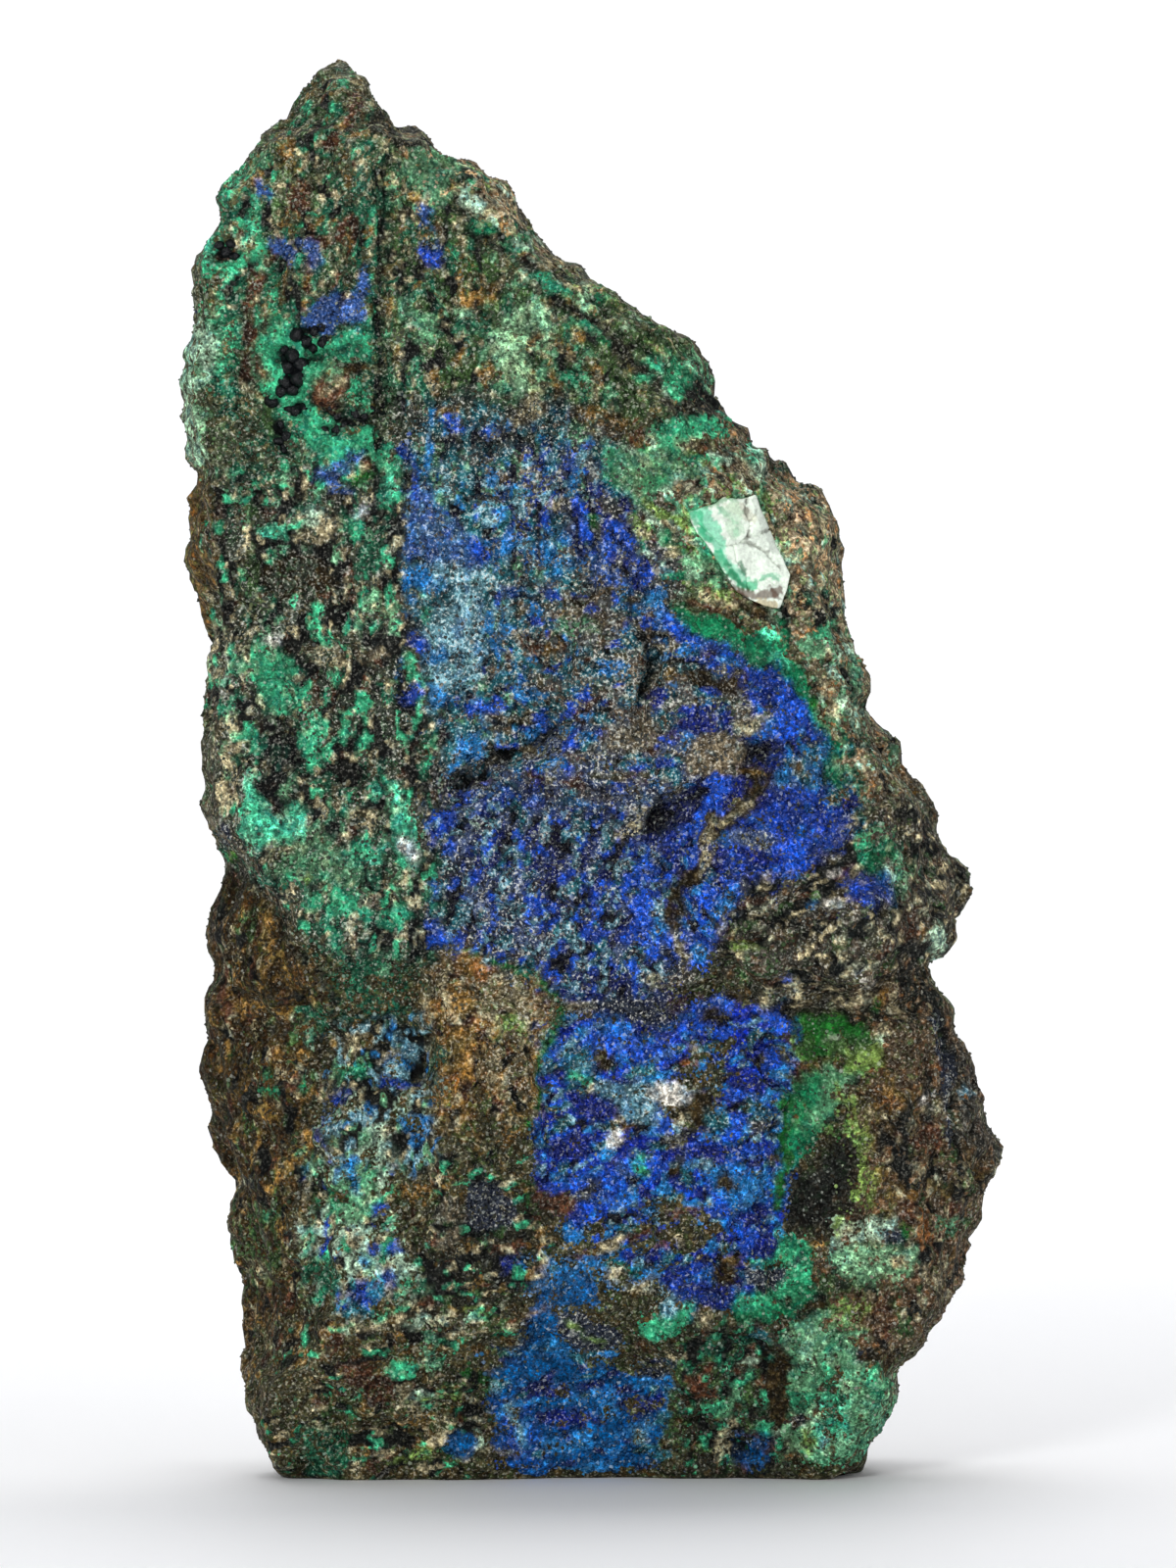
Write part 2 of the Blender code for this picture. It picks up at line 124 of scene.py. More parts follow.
# ---------------------------------------------------------------- the rock
# One broken lump of dark, iron-stained rock. It broke along flat chips and
# ledges, so its skin has chips of two sizes, larger ones behind, and a few cracks.
ROCK_VOXEL, ROCK_RELAX, ROCK_TRIANGLES = 0.00044, 5, 188000
SAME_PLACE = 1.0e-6

# relief: (height, size across) of flat chips and of rounded lumps, in metres
CHIPS = [(0.00050, 0.0036), (0.00026, 0.0015)]
CHIP_TILT, CHIP_STEP = 2.0, 0.6
BACK_CHIP_HEIGHT, BACK_CHIP_SIZE = 0.00042, 0.0060
LUMPS = [(0.00050, 0.0023), (0.00030, 0.00090)]
# where all noise is read, clear of the points at which it is always zero
SHIFT = Vector((0.37, 0.11, 0.53))
# how much of its relief the rock keeps where it doesn't face forward
ASIDE_RELIEF = 0.62
# a face counts as turned forward or away from this slope on, in full this much later
TURN_START, TURN_SPAN = 0.10, 0.40
# the foot is flat up to this height, and the relief is back in full this much higher
FOOT_FLAT, FOOT_BLEND = 0.0003, 0.0015
# the share of its triangles that the front may lose, and in how many steps the rest may lose more
FRONT_LOSS, FRONT_SLOPE, FRONT_SPAN, LOSS_STEPS = 0.35, 0.25, 0.40, 10

# cracks, gashes and ribs: (height, half width, path on the sheet in tenths)
CUTS = [
    (-0.0011, 4, [(668, 665), (663, 690), (655, 715), (650, 750)]),
    (-0.0011, 7, [(563, 735), (540, 762), (505, 780), (468, 802)]),
    (-0.0004, 7, [(402, 150), (397, 200), (398, 270), (390, 330), (390, 450)]),
    (-0.0004, 3, [(497, 1055), (491, 1130), (502, 1180), (500, 1280)]),
    (-0.0005, 3, [(250, 885), (275, 925), (300, 970), (345, 1005)]),
    (-0.0006, 3, [(958, 1040), (972, 1100), (976, 1160)]),
    (0.0005, 8, [(770, 800), (745, 830), (715, 860), (700, 885), (692, 940)]),
    (0.0004, 10, [(610, 1270), (660, 1240), (700, 1222), (735, 1250)]),
    (-0.0007, 12, [(283, 790), (290, 815), (306, 832), (325, 822)]),
    (-0.0006, 14, [(430, 950), (440, 985), (425, 1010)]),
    (-0.0007, 16, [(375, 1060), (400, 1080), (425, 1065)]),
    (-0.0006, 6, [(1004, 1120), (990, 1160), (1000, 1200)]),
    (-0.0005, 4, [(660, 590), (656, 620), (650, 640)]),
    (-0.0010, 7, [(742, 985), (800, 1034), (870, 1040), (935, 1024)]),
    (-0.0005, 6, [(752, 912), (800, 893), (860, 868), (884, 842)]),
    (0.0005, 3, [(314, 392), (321, 376), (338, 367), (356, 374), (363, 392), (355, 412), (338, 418),
        (321, 410), (314, 392)]),
    (0.0006, 9, [(338, 392)]),
    (-0.0008, 10, [(232, 257)]),
    (-0.0007, 4, [(788, 520), (800, 560), (812, 600), (800, 640)]),
    (-0.0006, 5, [(790, 757), (745, 790), (704, 822), (664, 842)]),
    (-0.0007, 12, [(672, 836)]),
    (-0.0007, 12, [(770, 768)]),
    (-0.0008, 6, [(436, 1060), (424, 1100), (440, 1130)]),
]

# where the lump leans out or in of its plain form, in tenths of a millimetre:
# (right, down, reach, move right, move down)
LEANS = [
    (336, 58, 26, 5, 7), (364, 82, 22, 8, 0), (410, 122, 32, 0, 10), (458, 150, 36, -2, 9),
    (503, 170, 24, -3, 7), (240, 168, 22, 5, 4), (225, 200, 18, -6, 0), (188, 282, 24, 6, 0),
    (188, 312, 18, 5, 0), (186, 345, 16, 6, 0), (188, 392, 26, -9, 0), (181, 446, 22, 8, 0),
    (193, 492, 26, 8, 0), (188, 548, 26, 5, 0), (205, 690, 30, -3, 0), (198, 803, 26, 9, 0),
    (223, 950, 50, -16, 0), (214, 1030, 34, -8, 0), (202, 1127, 26, 10, 0), (229, 1210, 40, 9, 0),
    (243, 1372, 36, 8, 0), (251, 1452, 26, 6, 0), (728, 360, 28, -8, 0), (775, 470, 18, 6, -9),
    (818, 478, 28, -6, 10), (846, 508, 20, -4, 0), (880, 695, 30, 9, 0), (906, 762, 24, 9, 0),
    (958, 990, 22, -10, -7), (984, 1048, 30, -9, 0), (1008, 1220, 26, -7, 0), (934, 1365, 18, 6, 0),
    (917, 1400, 28, -9, 0), (893, 1478, 26, -8, 0), (590, 272, 16, 3, -5), (762, 438, 18, 4, -5),
]


def make_plain(item):
    """Replace an object's mesh by what its modifiers make of it."""
    graph = bpy.context.evaluated_depsgraph_get()
    finished = bpy.data.meshes.new_from_object(item.evaluated_get(graph))
    item.modifiers.clear()
    item.data = finished
    return finished


def new_piece(name, bm):
    """A new object in the scene, with the mesh that was built up."""
    mesh = bpy.data.meshes.new(name)
    bm.to_mesh(mesh)
    bm.free()
    piece = bpy.data.objects.new(name, mesh)
    scene.collection.objects.link(piece)
    return piece


def evened(item, voxel, relaxed):
    """An object's mesh, rebuilt from small even faces and relaxed a number of times."""
    remesh = item.modifiers.new("even", "REMESH")
    remesh.mode = "VOXEL"
    remesh.voxel_size = voxel
    relax = item.modifiers.new("relax", "SMOOTH")
    relax.factor = 0.5
    relax.iterations = relaxed
    return make_plain(item)


def mesh_numbers(mesh, kind):
    """A mesh's vertex places or normals as an array with one row a vertex."""
    numbers = np.empty(len(mesh.vertices) * 3)
    mesh.vertices.foreach_get(kind, numbers)
    return numbers.reshape(-1, 3)


def set_places(mesh, places):
    """Move a mesh's vertices to the places in an array."""
    mesh.vertices.foreach_set("co", places.ravel())
    mesh.update()


def on_sheet(points):
    """Where points appear on the front sheet, in tenths of a millimetre right and down."""
    shrink = EYE_DISTANCE / (EYE_DISTANCE + points[:, 1] - SHEET_Y)
    right = FRAME_WIDE / 2 + (points[:, 0] - eye_x) * shrink / TENTH
    down = FRAME_HIGH / 2 - (points[:, 2] - eye_height) * shrink / TENTH
    return right, down


def ease(value):
    """Ease from 0 to 1 as a value goes from 0 to 1."""
    value = np.clip(value, 0.0, 1.0)
    return value * value * (3.0 - 2.0 * value)


def gap_to_path(right, down, path):
    """Distance of every point from a chain of straight stretches, or from one point."""
    nearest = np.hypot(right - path[0][0], down - path[0][1])
    for (ax, ay), (bx, by) in zip(path[:-1], path[1:]):
        run_x, run_y = bx - ax, by - ay
        along = ((right - ax) * run_x + (down - ay) * run_y) / (run_x ** 2 + run_y ** 2)
        along = np.clip(along, 0.0, 1.0)
        gap = np.hypot(right - ax - along * run_x, down - ay - along * run_y)
        nearest = np.minimum(nearest, gap)
    return nearest


def chip_height(point, size):
    """Height of flat chips, each about one size across and tilted its own way."""
    scaled = point / size
    centre = noise.voronoi(scaled)[1][0]
    tilt = noise.cell_vector(centre * 9.0) - Vector((0.5, 0.5, 0.5))
    return CHIP_TILT * tilt.dot(scaled - centre) + CHIP_STEP * tilt.x


def rock_relief(point):
    """Height of the broken rock's chips and lumps at a point."""
    place = point + SHIFT
    height = sum(tall * chip_height(place, size) for tall, size in CHIPS)
    return height + sum(tall * noise.noise(place / size) for tall, size in LUMPS)


bm = bmesh.new()
bm.from_mesh(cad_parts["azurite_specimen"].data)
bmesh.ops.remove_doubles(bm, verts=bm.verts, dist=SAME_PLACE)
rock = new_piece("rock", bm)
rock_mesh = evened(rock, ROCK_VOXEL, ROCK_RELAX)

places = mesh_numbers(rock_mesh, "co")
normals = mesh_numbers(rock_mesh, "normal")
right, down = on_sheet(places)
for middle, low, reach, move_right, move_down in LEANS:
    weight = ease(1.0 - np.hypot(right - middle, down - low) / reach)
    places[:, 0] += weight * move_right * TENTH
    places[:, 2] -= weight * move_down * TENTH
right, down = on_sheet(places)
heights = np.array([rock_relief(Vector(point)) for point in places])
facing = ease((-normals[:, 1] - TURN_START) / TURN_SPAN)
heights *= ASIDE_RELIEF + (1.0 - ASIDE_RELIEF) * facing
turned_away = ease((normals[:, 1] - TURN_START) / TURN_SPAN)
for i in np.nonzero(turned_away > 0.0)[0]:
    chip = chip_height(Vector(places[i]) + SHIFT, BACK_CHIP_SIZE)
    heights[i] += turned_away[i] * BACK_CHIP_HEIGHT * chip
for height, half_width, path in CUTS:
    gap = gap_to_path(right, down, path)
    heights += height * facing * (1.0 - ease(gap / (2.0 * half_width)))
on_foot = ease(1.0 - (places[:, 2] - FOOT_FLAT) / FOOT_BLEND)
heights *= 1.0 - on_foot
set_places(rock_mesh, places + normals * heights[:, None])

# the back and sides need fewer triangles than the front
plain_side = rock.vertex_groups.new(name="plain_side")
weights = FRONT_LOSS + (1.0 - FRONT_LOSS) * ease((normals[:, 1] + FRONT_SLOPE) / FRONT_SPAN)
for level in range(1, LOSS_STEPS + 1):
    near = np.nonzero(np.round(weights * LOSS_STEPS) == level)[0]
    plain_side.add([int(index) for index in near], level / LOSS_STEPS, "REPLACE")
thin_out = rock.modifiers.new("thin_out", "DECIMATE")
thin_out.vertex_group = plain_side.name
thin_out.vertex_group_factor = 1.0
thin_out.ratio = ROCK_TRIANGLES / (2.0 * len(rock_mesh.polygons))
rock_mesh = make_plain(rock)
rock.vertex_groups.clear()
rock_mesh.shade_smooth()


# ---------------------------------------------------------------- crusts and stains
# Azurite and malachite grew over the broken front as thin crusts and stains.
# They are coloured growth on the rock's own skin, so each vertex holds which
# mineral lies there, how much of the rock it covers, and how thick it is.

# what lies there: colour, thickness in tenths of a millimetre, and how densely its grains get painted
# glints, sheen and flash
MINERALS = {
    "olive_rock": ((0.080, 0.096, 0.050), 0.0, 0.18),
    "tan_rock": ((0.200, 0.155, 0.092), 0.0, 0.12),
    "pale_tan_rock": ((0.420, 0.330, 0.200), 0.0, 0.12),
    "grey_rock": ((0.080, 0.084, 0.082), 0.0, 0.32),
    "night_rock": ((0.028, 0.036, 0.064), 0.0, 0.30),
    "stippled_rock": ((0.046, 0.058, 0.040), 0.0, 0.27),
    "gold_rock": ((0.150, 0.092, 0.028), 0.0, 0.02),
    "brown_rock": ((0.038, 0.024, 0.007), 0.0, 0.03),
    "earth_rock": ((0.054, 0.050, 0.022), 0.0, 0.12),
    "pale_earth": ((0.148, 0.120, 0.060), 0.0, 0.26),
    "ochre_rock": ((0.230, 0.130, 0.032), 0.0, 0.12),
    "lump_rock": ((0.060, 0.053, 0.040), 0.0, 0.12),
    "side_rock": ((0.100, 0.068, 0.038), 0.0, 0.13),
    # the next two are rock colours that are also laid as painted shadow under the shoulder, and the black
    # one as painted shade in the hollow
    "dark_earth_and_painted_shade": ((0.024, 0.024, 0.014), 0.0, 0.05),
    "black_rock_and_painted_shade": ((0.009, 0.010, 0.008), 0.0, 0.03),
    "azurite": ((0.008, 0.060, 0.440), 1.6, 0.06),
    "azurite_bright": ((0.010, 0.105, 0.680), 1.6, 0.05),
    "azurite_sky": ((0.022, 0.260, 0.640), 1.6, 0.05),
    "azurite_deep": ((0.004, 0.018, 0.230), 1.4, 0.10),
    "azurite_cobalt": ((0.003, 0.030, 0.430), 1.4, 0.05),
    "azurite_night": ((0.005, 0.016, 0.150), 0.8, 0.20),
    # the sunk near-black below is painted shade in the azurite's crevices and between its crystals
    "azurite_painted_shade": ((0.001, 0.001, 0.010), -0.8, 0.06),
    "azurite_violet": ((0.050, 0.140, 0.450), 0.8, 0.12),
    "azurite_grey": ((0.092, 0.135, 0.270), 0.5, 0.34),
    "azurite_soft": ((0.001, 0.110, 0.330), 1.2, 0.00),
    "azurite_teal": ((0.024, 0.165, 0.195), 0.6, 0.20),
    "azurite_pale": ((0.200, 0.430, 0.500), 0.5, 0.30),
    "malachite": ((0.052, 0.500, 0.240), 2.4, 0.06),
    "malachite_mint": ((0.100, 0.720, 0.410), 2.4, 0.06),
    "malachite_deep": ((0.018, 0.150, 0.075), 1.0, 0.11),
    "emerald": ((0.008, 0.215, 0.085), 1.8, 0.03),
    "moss": ((0.060, 0.125, 0.034), 0.8, 0.10),
    "leaf": ((0.012, 0.135, 0.018), 1.2, 0.02),
    "sage": ((0.150, 0.400, 0.200), 1.4, 0.08),
    "lime": ((0.270, 0.420, 0.090), 1.4, 0.04),
    "mint": ((0.360, 0.680, 0.370), 1.8, 0.10),
    "pale_mint": ((0.520, 0.740, 0.520), 1.8, 0.08),
    "cream": ((0.570, 0.480, 0.270), 1.0, 0.12),
    "white": ((0.840, 0.790, 0.690), 1.6, 0.05),
    "ochre": ((0.280, 0.150, 0.034), 0.6, 0.08),
    "orange": ((0.360, 0.130, 0.030), 0.4, 0.04),
    "rust": ((0.105, 0.040, 0.018), 0.2, 0.06),
    # the sunk black below is painted shade, laid in cracks, gashes, hollows and under the shoulder
    "pit_painted_shade": ((0.002, 0.003, 0.003), -4.0, 0.0),
}

# bare rock, from one border to the next: (rock, outline on the sheet)
GROUND = [
    ("olive_rock", [(345, 30), (430, 120), (560, 200), (700, 330), (700, 420), (600, 430), (520, 405),
        (400, 400), (390, 500), (180, 510), (150, 380), (170, 230), (260, 110)]),
    ("tan_rock", [(350, 40), (440, 120), (530, 165), (590, 255), (640, 300), (760, 430), (870, 490),
        (900, 640), (920, 760), (980, 850), (900, 850), (850, 790), (840, 720), (790, 640), (790, 560),
        (775, 490), (700, 410), (640, 330), (560, 260), (480, 190), (400, 140)]),
    ("pale_tan_rock", [(785, 500), (850, 505), (865, 560), (865, 640), (830, 600), (800, 570)]),
    ("pale_tan_rock", [(420, 160), (460, 160), (540, 200), (560, 255), (520, 225), (480, 195), (440, 230),
        (410, 240)]),
    ("tan_rock", [(690, 470), (790, 480), (800, 600), (800, 640), (740, 620), (680, 590), (690, 520)]),
    ("stippled_rock", [(395, 330), (520, 395), (560, 420), (420, 450), (430, 990), (330, 960), (210, 880),
        (205, 490), (390, 480)]),
    ("grey_rock", [(430, 410), (600, 420), (700, 560), (700, 640), (790, 690), (790, 740), (720, 830),
        (600, 840), (440, 800), (420, 600)]),
    ("night_rock", [(440, 800), (560, 790), (700, 830), (760, 900), (700, 1000), (600, 1050), (560, 1010),
        (440, 960)]),
    ("gold_rock", [(150, 500), (205, 490), (214, 560), (218, 640), (210, 700), (203, 735), (150, 740)]),
    ("brown_rock", [(170, 880), (250, 885), (278, 925), (305, 970), (345, 1010), (348, 1100), (335, 1180),
        (315, 1300), (300, 1400), (200, 1480), (150, 1200)]),
    ("earth_rock", [(300, 1180), (340, 1020), (450, 990), (560, 1000), (560, 1350), (690, 1350),
        (690, 1520), (240, 1540), (230, 1380), (300, 1330)]),
    ("pale_earth", [(440, 985), (480, 968), (560, 1005), (578, 1030), (552, 1090), (545, 1140), (500, 1130),
        (440, 1040)]),
    ("ochre_rock", [(445, 1030), (492, 1045), (492, 1100), (475, 1160), (448, 1150)]),
    ("lump_rock", [(755, 880), (850, 830), (940, 800), (1010, 900), (980, 985), (900, 1035), (800, 1030),
        (740, 985), (735, 930)]),
    ("side_rock", [(860, 1000), (960, 975), (1060, 1160), (1000, 1340), (900, 1400), (820, 1340),
        (850, 1240), (890, 1150), (880, 1100)]),
    ("dark_earth_and_painted_shade", [(690, 1350), (815, 1350), (820, 1520), (690, 1520)]),
    ("dark_earth_and_painted_shade", [(440, 1240), (560, 1190), (560, 1340), (420, 1345)]),
    ("black_rock_and_painted_shade", [(800, 1200), (850, 1150), (870, 1160), (876, 1200), (862, 1245), (850, 1262),
        (820, 1258), (795, 1250), (790, 1225)]),
]

# crusts with an outline of their own, each laid over the ones before it:
# (mineral, share of the rock that it covers, outline on the sheet)
CRUSTS = [
    # the tan tip, and the green and olive stain over the top
    ("pale_earth", 0.62, [(318, 62), (345, 52), (374, 76), (396, 112), (330, 112)]),
    ("moss", 0.45, [(345, 60), (420, 140), (560, 270), (640, 330), (700, 400), (620, 470), (520, 400),
        (400, 400), (260, 330), (230, 260), (250, 170)]),
    ("malachite_deep", 0.40, [(340, 130), (400, 150), (400, 400), (380, 480), (250, 520), (215, 420),
        (215, 330), (260, 290), (330, 290)]),
    ("malachite", 0.62, [(245, 160), (270, 155), (262, 200), (268, 240), (270, 300), (240, 310), (215, 290),
        (185, 260), (215, 190)]),
    ("sage", 0.80, [(160, 350), (205, 335), (222, 370), (205, 400), (210, 440), (200, 480), (150, 480)]),
    ("pale_mint", 0.70, [(150, 335), (200, 330), (216, 370), (200, 400), (204, 470), (150, 480)]),
    ("lime", 0.35, [(160, 420), (200, 410), (208, 450), (200, 480), (170, 480)]),
    ("malachite", 0.50, [(200, 310), (245, 300), (255, 350), (232, 400), (215, 380)]),
    # the malachite round the vug
    ("malachite", 0.96, [(268, 320), (292, 316), (300, 345), (325, 348), (375, 338), (368, 356), (335, 366),
        (318, 392), (312, 405), (330, 425), (345, 438), (375, 428), (384, 440), (382, 462), (350, 470),
        (338, 480), (318, 476), (308, 455), (300, 432), (284, 420), (276, 400), (264, 392), (262, 352)]),
    ("malachite", 0.80, [(384, 450), (402, 452), (408, 500), (400, 520), (386, 512)]),
    # greens of the upper right
    ("mint", 0.82, [(505, 322), (540, 312), (560, 330), (560, 348), (530, 356), (540, 385), (552, 398),
        (530, 402), (512, 385), (500, 352)]),
    ("moss", 0.55, [(400, 300), (500, 300), (505, 400), (400, 400)]),
    ("sage", 0.75, [(418, 160), (440, 150), (465, 172), (460, 190), (430, 200)]),
    ("malachite_deep", 0.65, [(478, 215), (545, 235), (560, 262), (520, 275), (490, 250)]),
    ("moss", 0.70, [(612, 300), (640, 300), (705, 345), (700, 372), (650, 375), (620, 340)]),
    ("malachite", 0.70, [(650, 376), (700, 360), (722, 385), (735, 405), (700, 410), (665, 392)]),
    ("sage", 0.75, [(700, 350), (735, 375), (745, 410), (718, 400)]),
    ("malachite_deep", 0.60, [(760, 440), (800, 470), (830, 500), (810, 495), (775, 470)]),
    ("malachite", 0.88, [(690, 425), (705, 418), (735, 430), (738, 442), (712, 446), (690, 452), (668, 455),
        (662, 440)]),
    ("sage", 0.80, [(612, 470), (650, 455), (700, 462), (720, 500), (700, 515), (655, 512), (625, 500)]),
    ("emerald", 0.85, [(655, 480), (680, 485), (692, 508), (672, 510), (652, 498)]),
    ("emerald", 0.80, [(610, 455), (625, 452), (640, 500), (636, 520), (616, 500)]),
    ("malachite", 0.85, [(702, 515), (728, 520), (738, 552), (722, 560), (704, 540)]),
    ("sage", 0.75, [(690, 550), (722, 555), (745, 580), (740, 600), (715, 605), (690, 585)]),
    # emerald above the blue band, and the strip between it and the tan side
    ("emerald", 0.92, [(705, 622), (725, 615), (750, 640), (790, 640), (795, 652), (775, 668), (735, 660),
        (712, 642)]),
    ("malachite_deep", 0.95, [(735, 650), (760, 655), (785, 660), (775, 672), (752, 668)]),
    ("emerald", 0.90, [(775, 668), (800, 672), (815, 700), (838, 735), (856, 770), (862, 805), (848, 805),
        (838, 760), (812, 715), (790, 690)]),
    ("sage", 0.60, [(815, 635), (860, 640), (880, 700), (885, 760), (860, 740), (835, 690)]),
    # the teal and pale blue stipple of the upper middle
    ("azurite_teal", 0.55, [(428, 425), (470, 405), (560, 412), (610, 440), (625, 500), (600, 560),
        (585, 640), (545, 740), (500, 765), (445, 770), (420, 690), (422, 560)]),
    ("azurite_teal", 0.34, [(480, 640), (620, 600), (690, 660), (650, 760), (560, 745), (500, 765)]),
    ("azurite_pale", 0.78, [(445, 570), (490, 585), (495, 690), (455, 710), (425, 700), (428, 640),
        (450, 610)]),
    ("azurite", 0.30, [(495, 440), (560, 450), (600, 480), (590, 560), (540, 590), (500, 560)]),
    ("azurite_violet", 0.80, [(418, 508), (436, 500), (455, 530), (495, 552), (485, 575), (440, 578),
        (420, 560)]),
    ("azurite_deep", 0.62, [(580, 500), (625, 485), (655, 530), (672, 580), (668, 620), (640, 610),
        (600, 560), (575, 545)]),
    ("azurite_violet", 0.50, [(600, 560), (640, 560), (665, 600), (670, 650), (640, 640)]),
    # grey-violet and dark blue stipple of the middle
    ("azurite_grey", 0.50, [(560, 745), (620, 720), (700, 745), (745, 790), (700, 835), (560, 820),
        (480, 805)]),
    ("azurite_grey", 0.46, [(470, 860), (550, 830), (575, 960), (500, 975), (450, 930)]),
    ("azurite_night", 0.60, [(450, 830), (560, 800), (700, 840), (715, 900), (660, 1040), (560, 1010),
        (550, 920), (480, 880)]),
    # the blue band, from its pale tip down to the shoulder
    ("azurite", 0.96, [(662, 612), (690, 626), (735, 658), (765, 672), (782, 678), (802, 704), (825, 730),
        (845, 772), (850, 806), (835, 830), (800, 825), (786, 800), (792, 770), (782, 725), (752, 696),
        (712, 672), (680, 650)]),
    ("azurite_sky", 0.95, [(658, 606), (684, 616), (700, 636), (690, 642), (672, 634)]),
    ("azurite_bright", 0.95, [(690, 628), (718, 644), (732, 664), (712, 664), (696, 652)]),
    ("azurite_bright", 0.80, [(780, 705), (812, 722), (806, 752), (786, 742)]),
    ("azurite_teal", 0.70, [(800, 770), (835, 768), (842, 800), (812, 806)]),
    ("azurite", 0.78, [(786, 790), (852, 806), (872, 832), (850, 868), (800, 892), (744, 900), (728, 880),
        (752, 835)]),
    ("azurite_deep", 0.85, [(735, 782), (754, 790), (742, 815), (714, 832), (700, 850), (672, 880),
        (660, 858), (700, 822)]),
    # painted shade in the black crevice
    ("azurite_painted_shade", 0.92, [(755, 748), (790, 752), (788, 785), (748, 800), (705, 845), (668, 850),
        (668, 815), (700, 808), (735, 785)]),
    ("azurite_bright", 0.86, [(648, 860), (690, 850), (712, 836), (700, 890), (692, 925), (720, 900),
        (748, 893), (757, 905), (742, 930), (728, 968), (712, 988), (698, 975), (690, 960), (676, 985),
        (655, 978), (648, 940)]),
    ("azurite_deep", 0.60, [(650, 850), (690, 860), (690, 900), (650, 905)]),
    ("bare", 1.0, [(760, 905), (850, 880), (890, 870), (850, 900), (780, 920), (752, 950), (738, 990),
        (728, 985), (742, 935)]),
    # the left side's malachite
    ("sage", 0.45, [(260, 500), (330, 490), (390, 540), (350, 560), (290, 570), (262, 550)]),
    ("malachite", 0.88, [(262, 655), (272, 648), (292, 662), (297, 690), (280, 700), (262, 695),
        (256, 680)]),
    ("malachite", 0.85, [(266, 700), (284, 698), (296, 720), (290, 730), (276, 728), (268, 715)]),
    ("malachite", 0.55, [(300, 712), (330, 712), (345, 740), (366, 745), (362, 782), (325, 788),
        (305, 760)]),
    ("malachite_mint", 0.97, [(252, 785), (262, 792), (268, 822), (282, 838), (302, 838), (316, 822),
        (322, 835), (312, 858), (292, 862), (268, 852), (252, 855), (248, 845), (256, 838), (258, 818)]),
    ("black_rock_and_painted_shade", 0.75, [(262, 728), (300, 730), (320, 762), (302, 788), (268, 788), (256, 760)]),
    ("black_rock_and_painted_shade", 0.80, [(266, 792), (302, 786), (322, 812), (310, 830), (290, 836), (273, 824)]),
    ("black_rock_and_painted_shade", 0.55, [(335, 790), (396, 800), (408, 850), (400, 875), (350, 872), (328, 835)]),
    ("black_rock_and_painted_shade", 0.50, [(372, 925), (445, 905), (450, 990), (400, 1010), (360, 975)]),
    ("black_rock_and_painted_shade", 0.55, [(330, 480), (420, 470), (420, 650), (380, 730), (330, 700), (300, 600)]),
    ("cream", 0.50, [(214, 735), (236, 730), (247, 790), (246, 845), (224, 835)]),
    ("malachite_deep", 0.35, [(300, 790), (400, 790), (415, 870), (330, 880), (320, 830)]),
    ("sage", 0.72, [(272, 866), (330, 852), (368, 870), (360, 898), (300, 903), (270, 885)]),
    ("malachite", 0.80, [(335, 905), (362, 900), (372, 918), (352, 928), (338, 922)]),
    ("malachite", 0.75, [(395, 925), (412, 915), (418, 935), (405, 948), (392, 940)]),
    ("malachite_mint", 0.88, [(398, 800), (408, 798), (422, 835), (428, 868), (418, 882), (405, 872),
        (412, 860), (404, 830)]),
    ("sage", 0.62, [(340, 885), (400, 880), (420, 900), (395, 915), (350, 922), (335, 905)]),
    ("malachite_deep", 0.38, [(280, 900), (430, 900), (430, 1050), (350, 1060), (330, 990)]),
    # the hollow with pale blue crystals and painted shade at its top, and the mint crust below it
    ("black_rock_and_painted_shade", 0.65, [(340, 1040), (432, 1040), (445, 1105), (350, 1105)]),
    ("pale_mint", 0.30, [(340, 1110), (440, 1100), (440, 1180), (390, 1200), (340, 1180)]),
    ("sage", 0.75, [(335, 1200), (372, 1195), (388, 1215), (375, 1240), (340, 1245)]),
    ("pale_mint", 0.52, [(305, 1250), (385, 1242), (405, 1280), (420, 1310), (390, 1315), (350, 1290),
        (310, 1295)]),
    ("azurite", 0.70, [(352, 1300), (395, 1296), (398, 1318), (370, 1338), (350, 1330)]),
    # the cobalt bed
    ("azurite_cobalt", 0.90, [(550, 1080), (562, 1050), (640, 1046), (690, 1052), (735, 1060), (745, 1032),
        (790, 1024), (812, 1030), (818, 1060), (806, 1100), (796, 1170), (788, 1200), (796, 1230),
        (790, 1250), (772, 1280), (764, 1325), (705, 1345), (692, 1312), (742, 1272), (735, 1245),
        (700, 1225), (640, 1245), (590, 1247), (578, 1220), (545, 1190), (545, 1140)]),
    ("azurite_deep", 0.75, [(560, 1000), (640, 1030), (700, 1020), (690, 1050), (600, 1045)]),
    ("azurite_bright", 0.80, [(590, 1050), (650, 1050), (690, 1056), (680, 1078), (600, 1075)]),
    ("azurite_bright", 0.75, [(700, 1040), (745, 1020), (740, 1045), (712, 1050)]),
    ("azurite_teal", 0.70, [(565, 1065), (600, 1068), (612, 1095), (575, 1095)]),
    ("azurite_pale", 0.70, [(610, 1108), (660, 1098), (682, 1110), (672, 1145), (640, 1150)]),
    ("azurite_sky", 0.85, [(726, 1195), (760, 1190), (778, 1205), (768, 1225), (745, 1244), (732, 1225)]),
    ("azurite_teal", 0.65, [(735, 1110), (790, 1110), (785, 1150), (740, 1145)]),
    ("azurite_bright", 0.75, [(560, 1195), (640, 1190), (650, 1225), (590, 1240), (575, 1215)]),
    ("bare", 1.0, [(690, 1070), (745, 1060), (735, 1145), (700, 1150), (680, 1120)]),
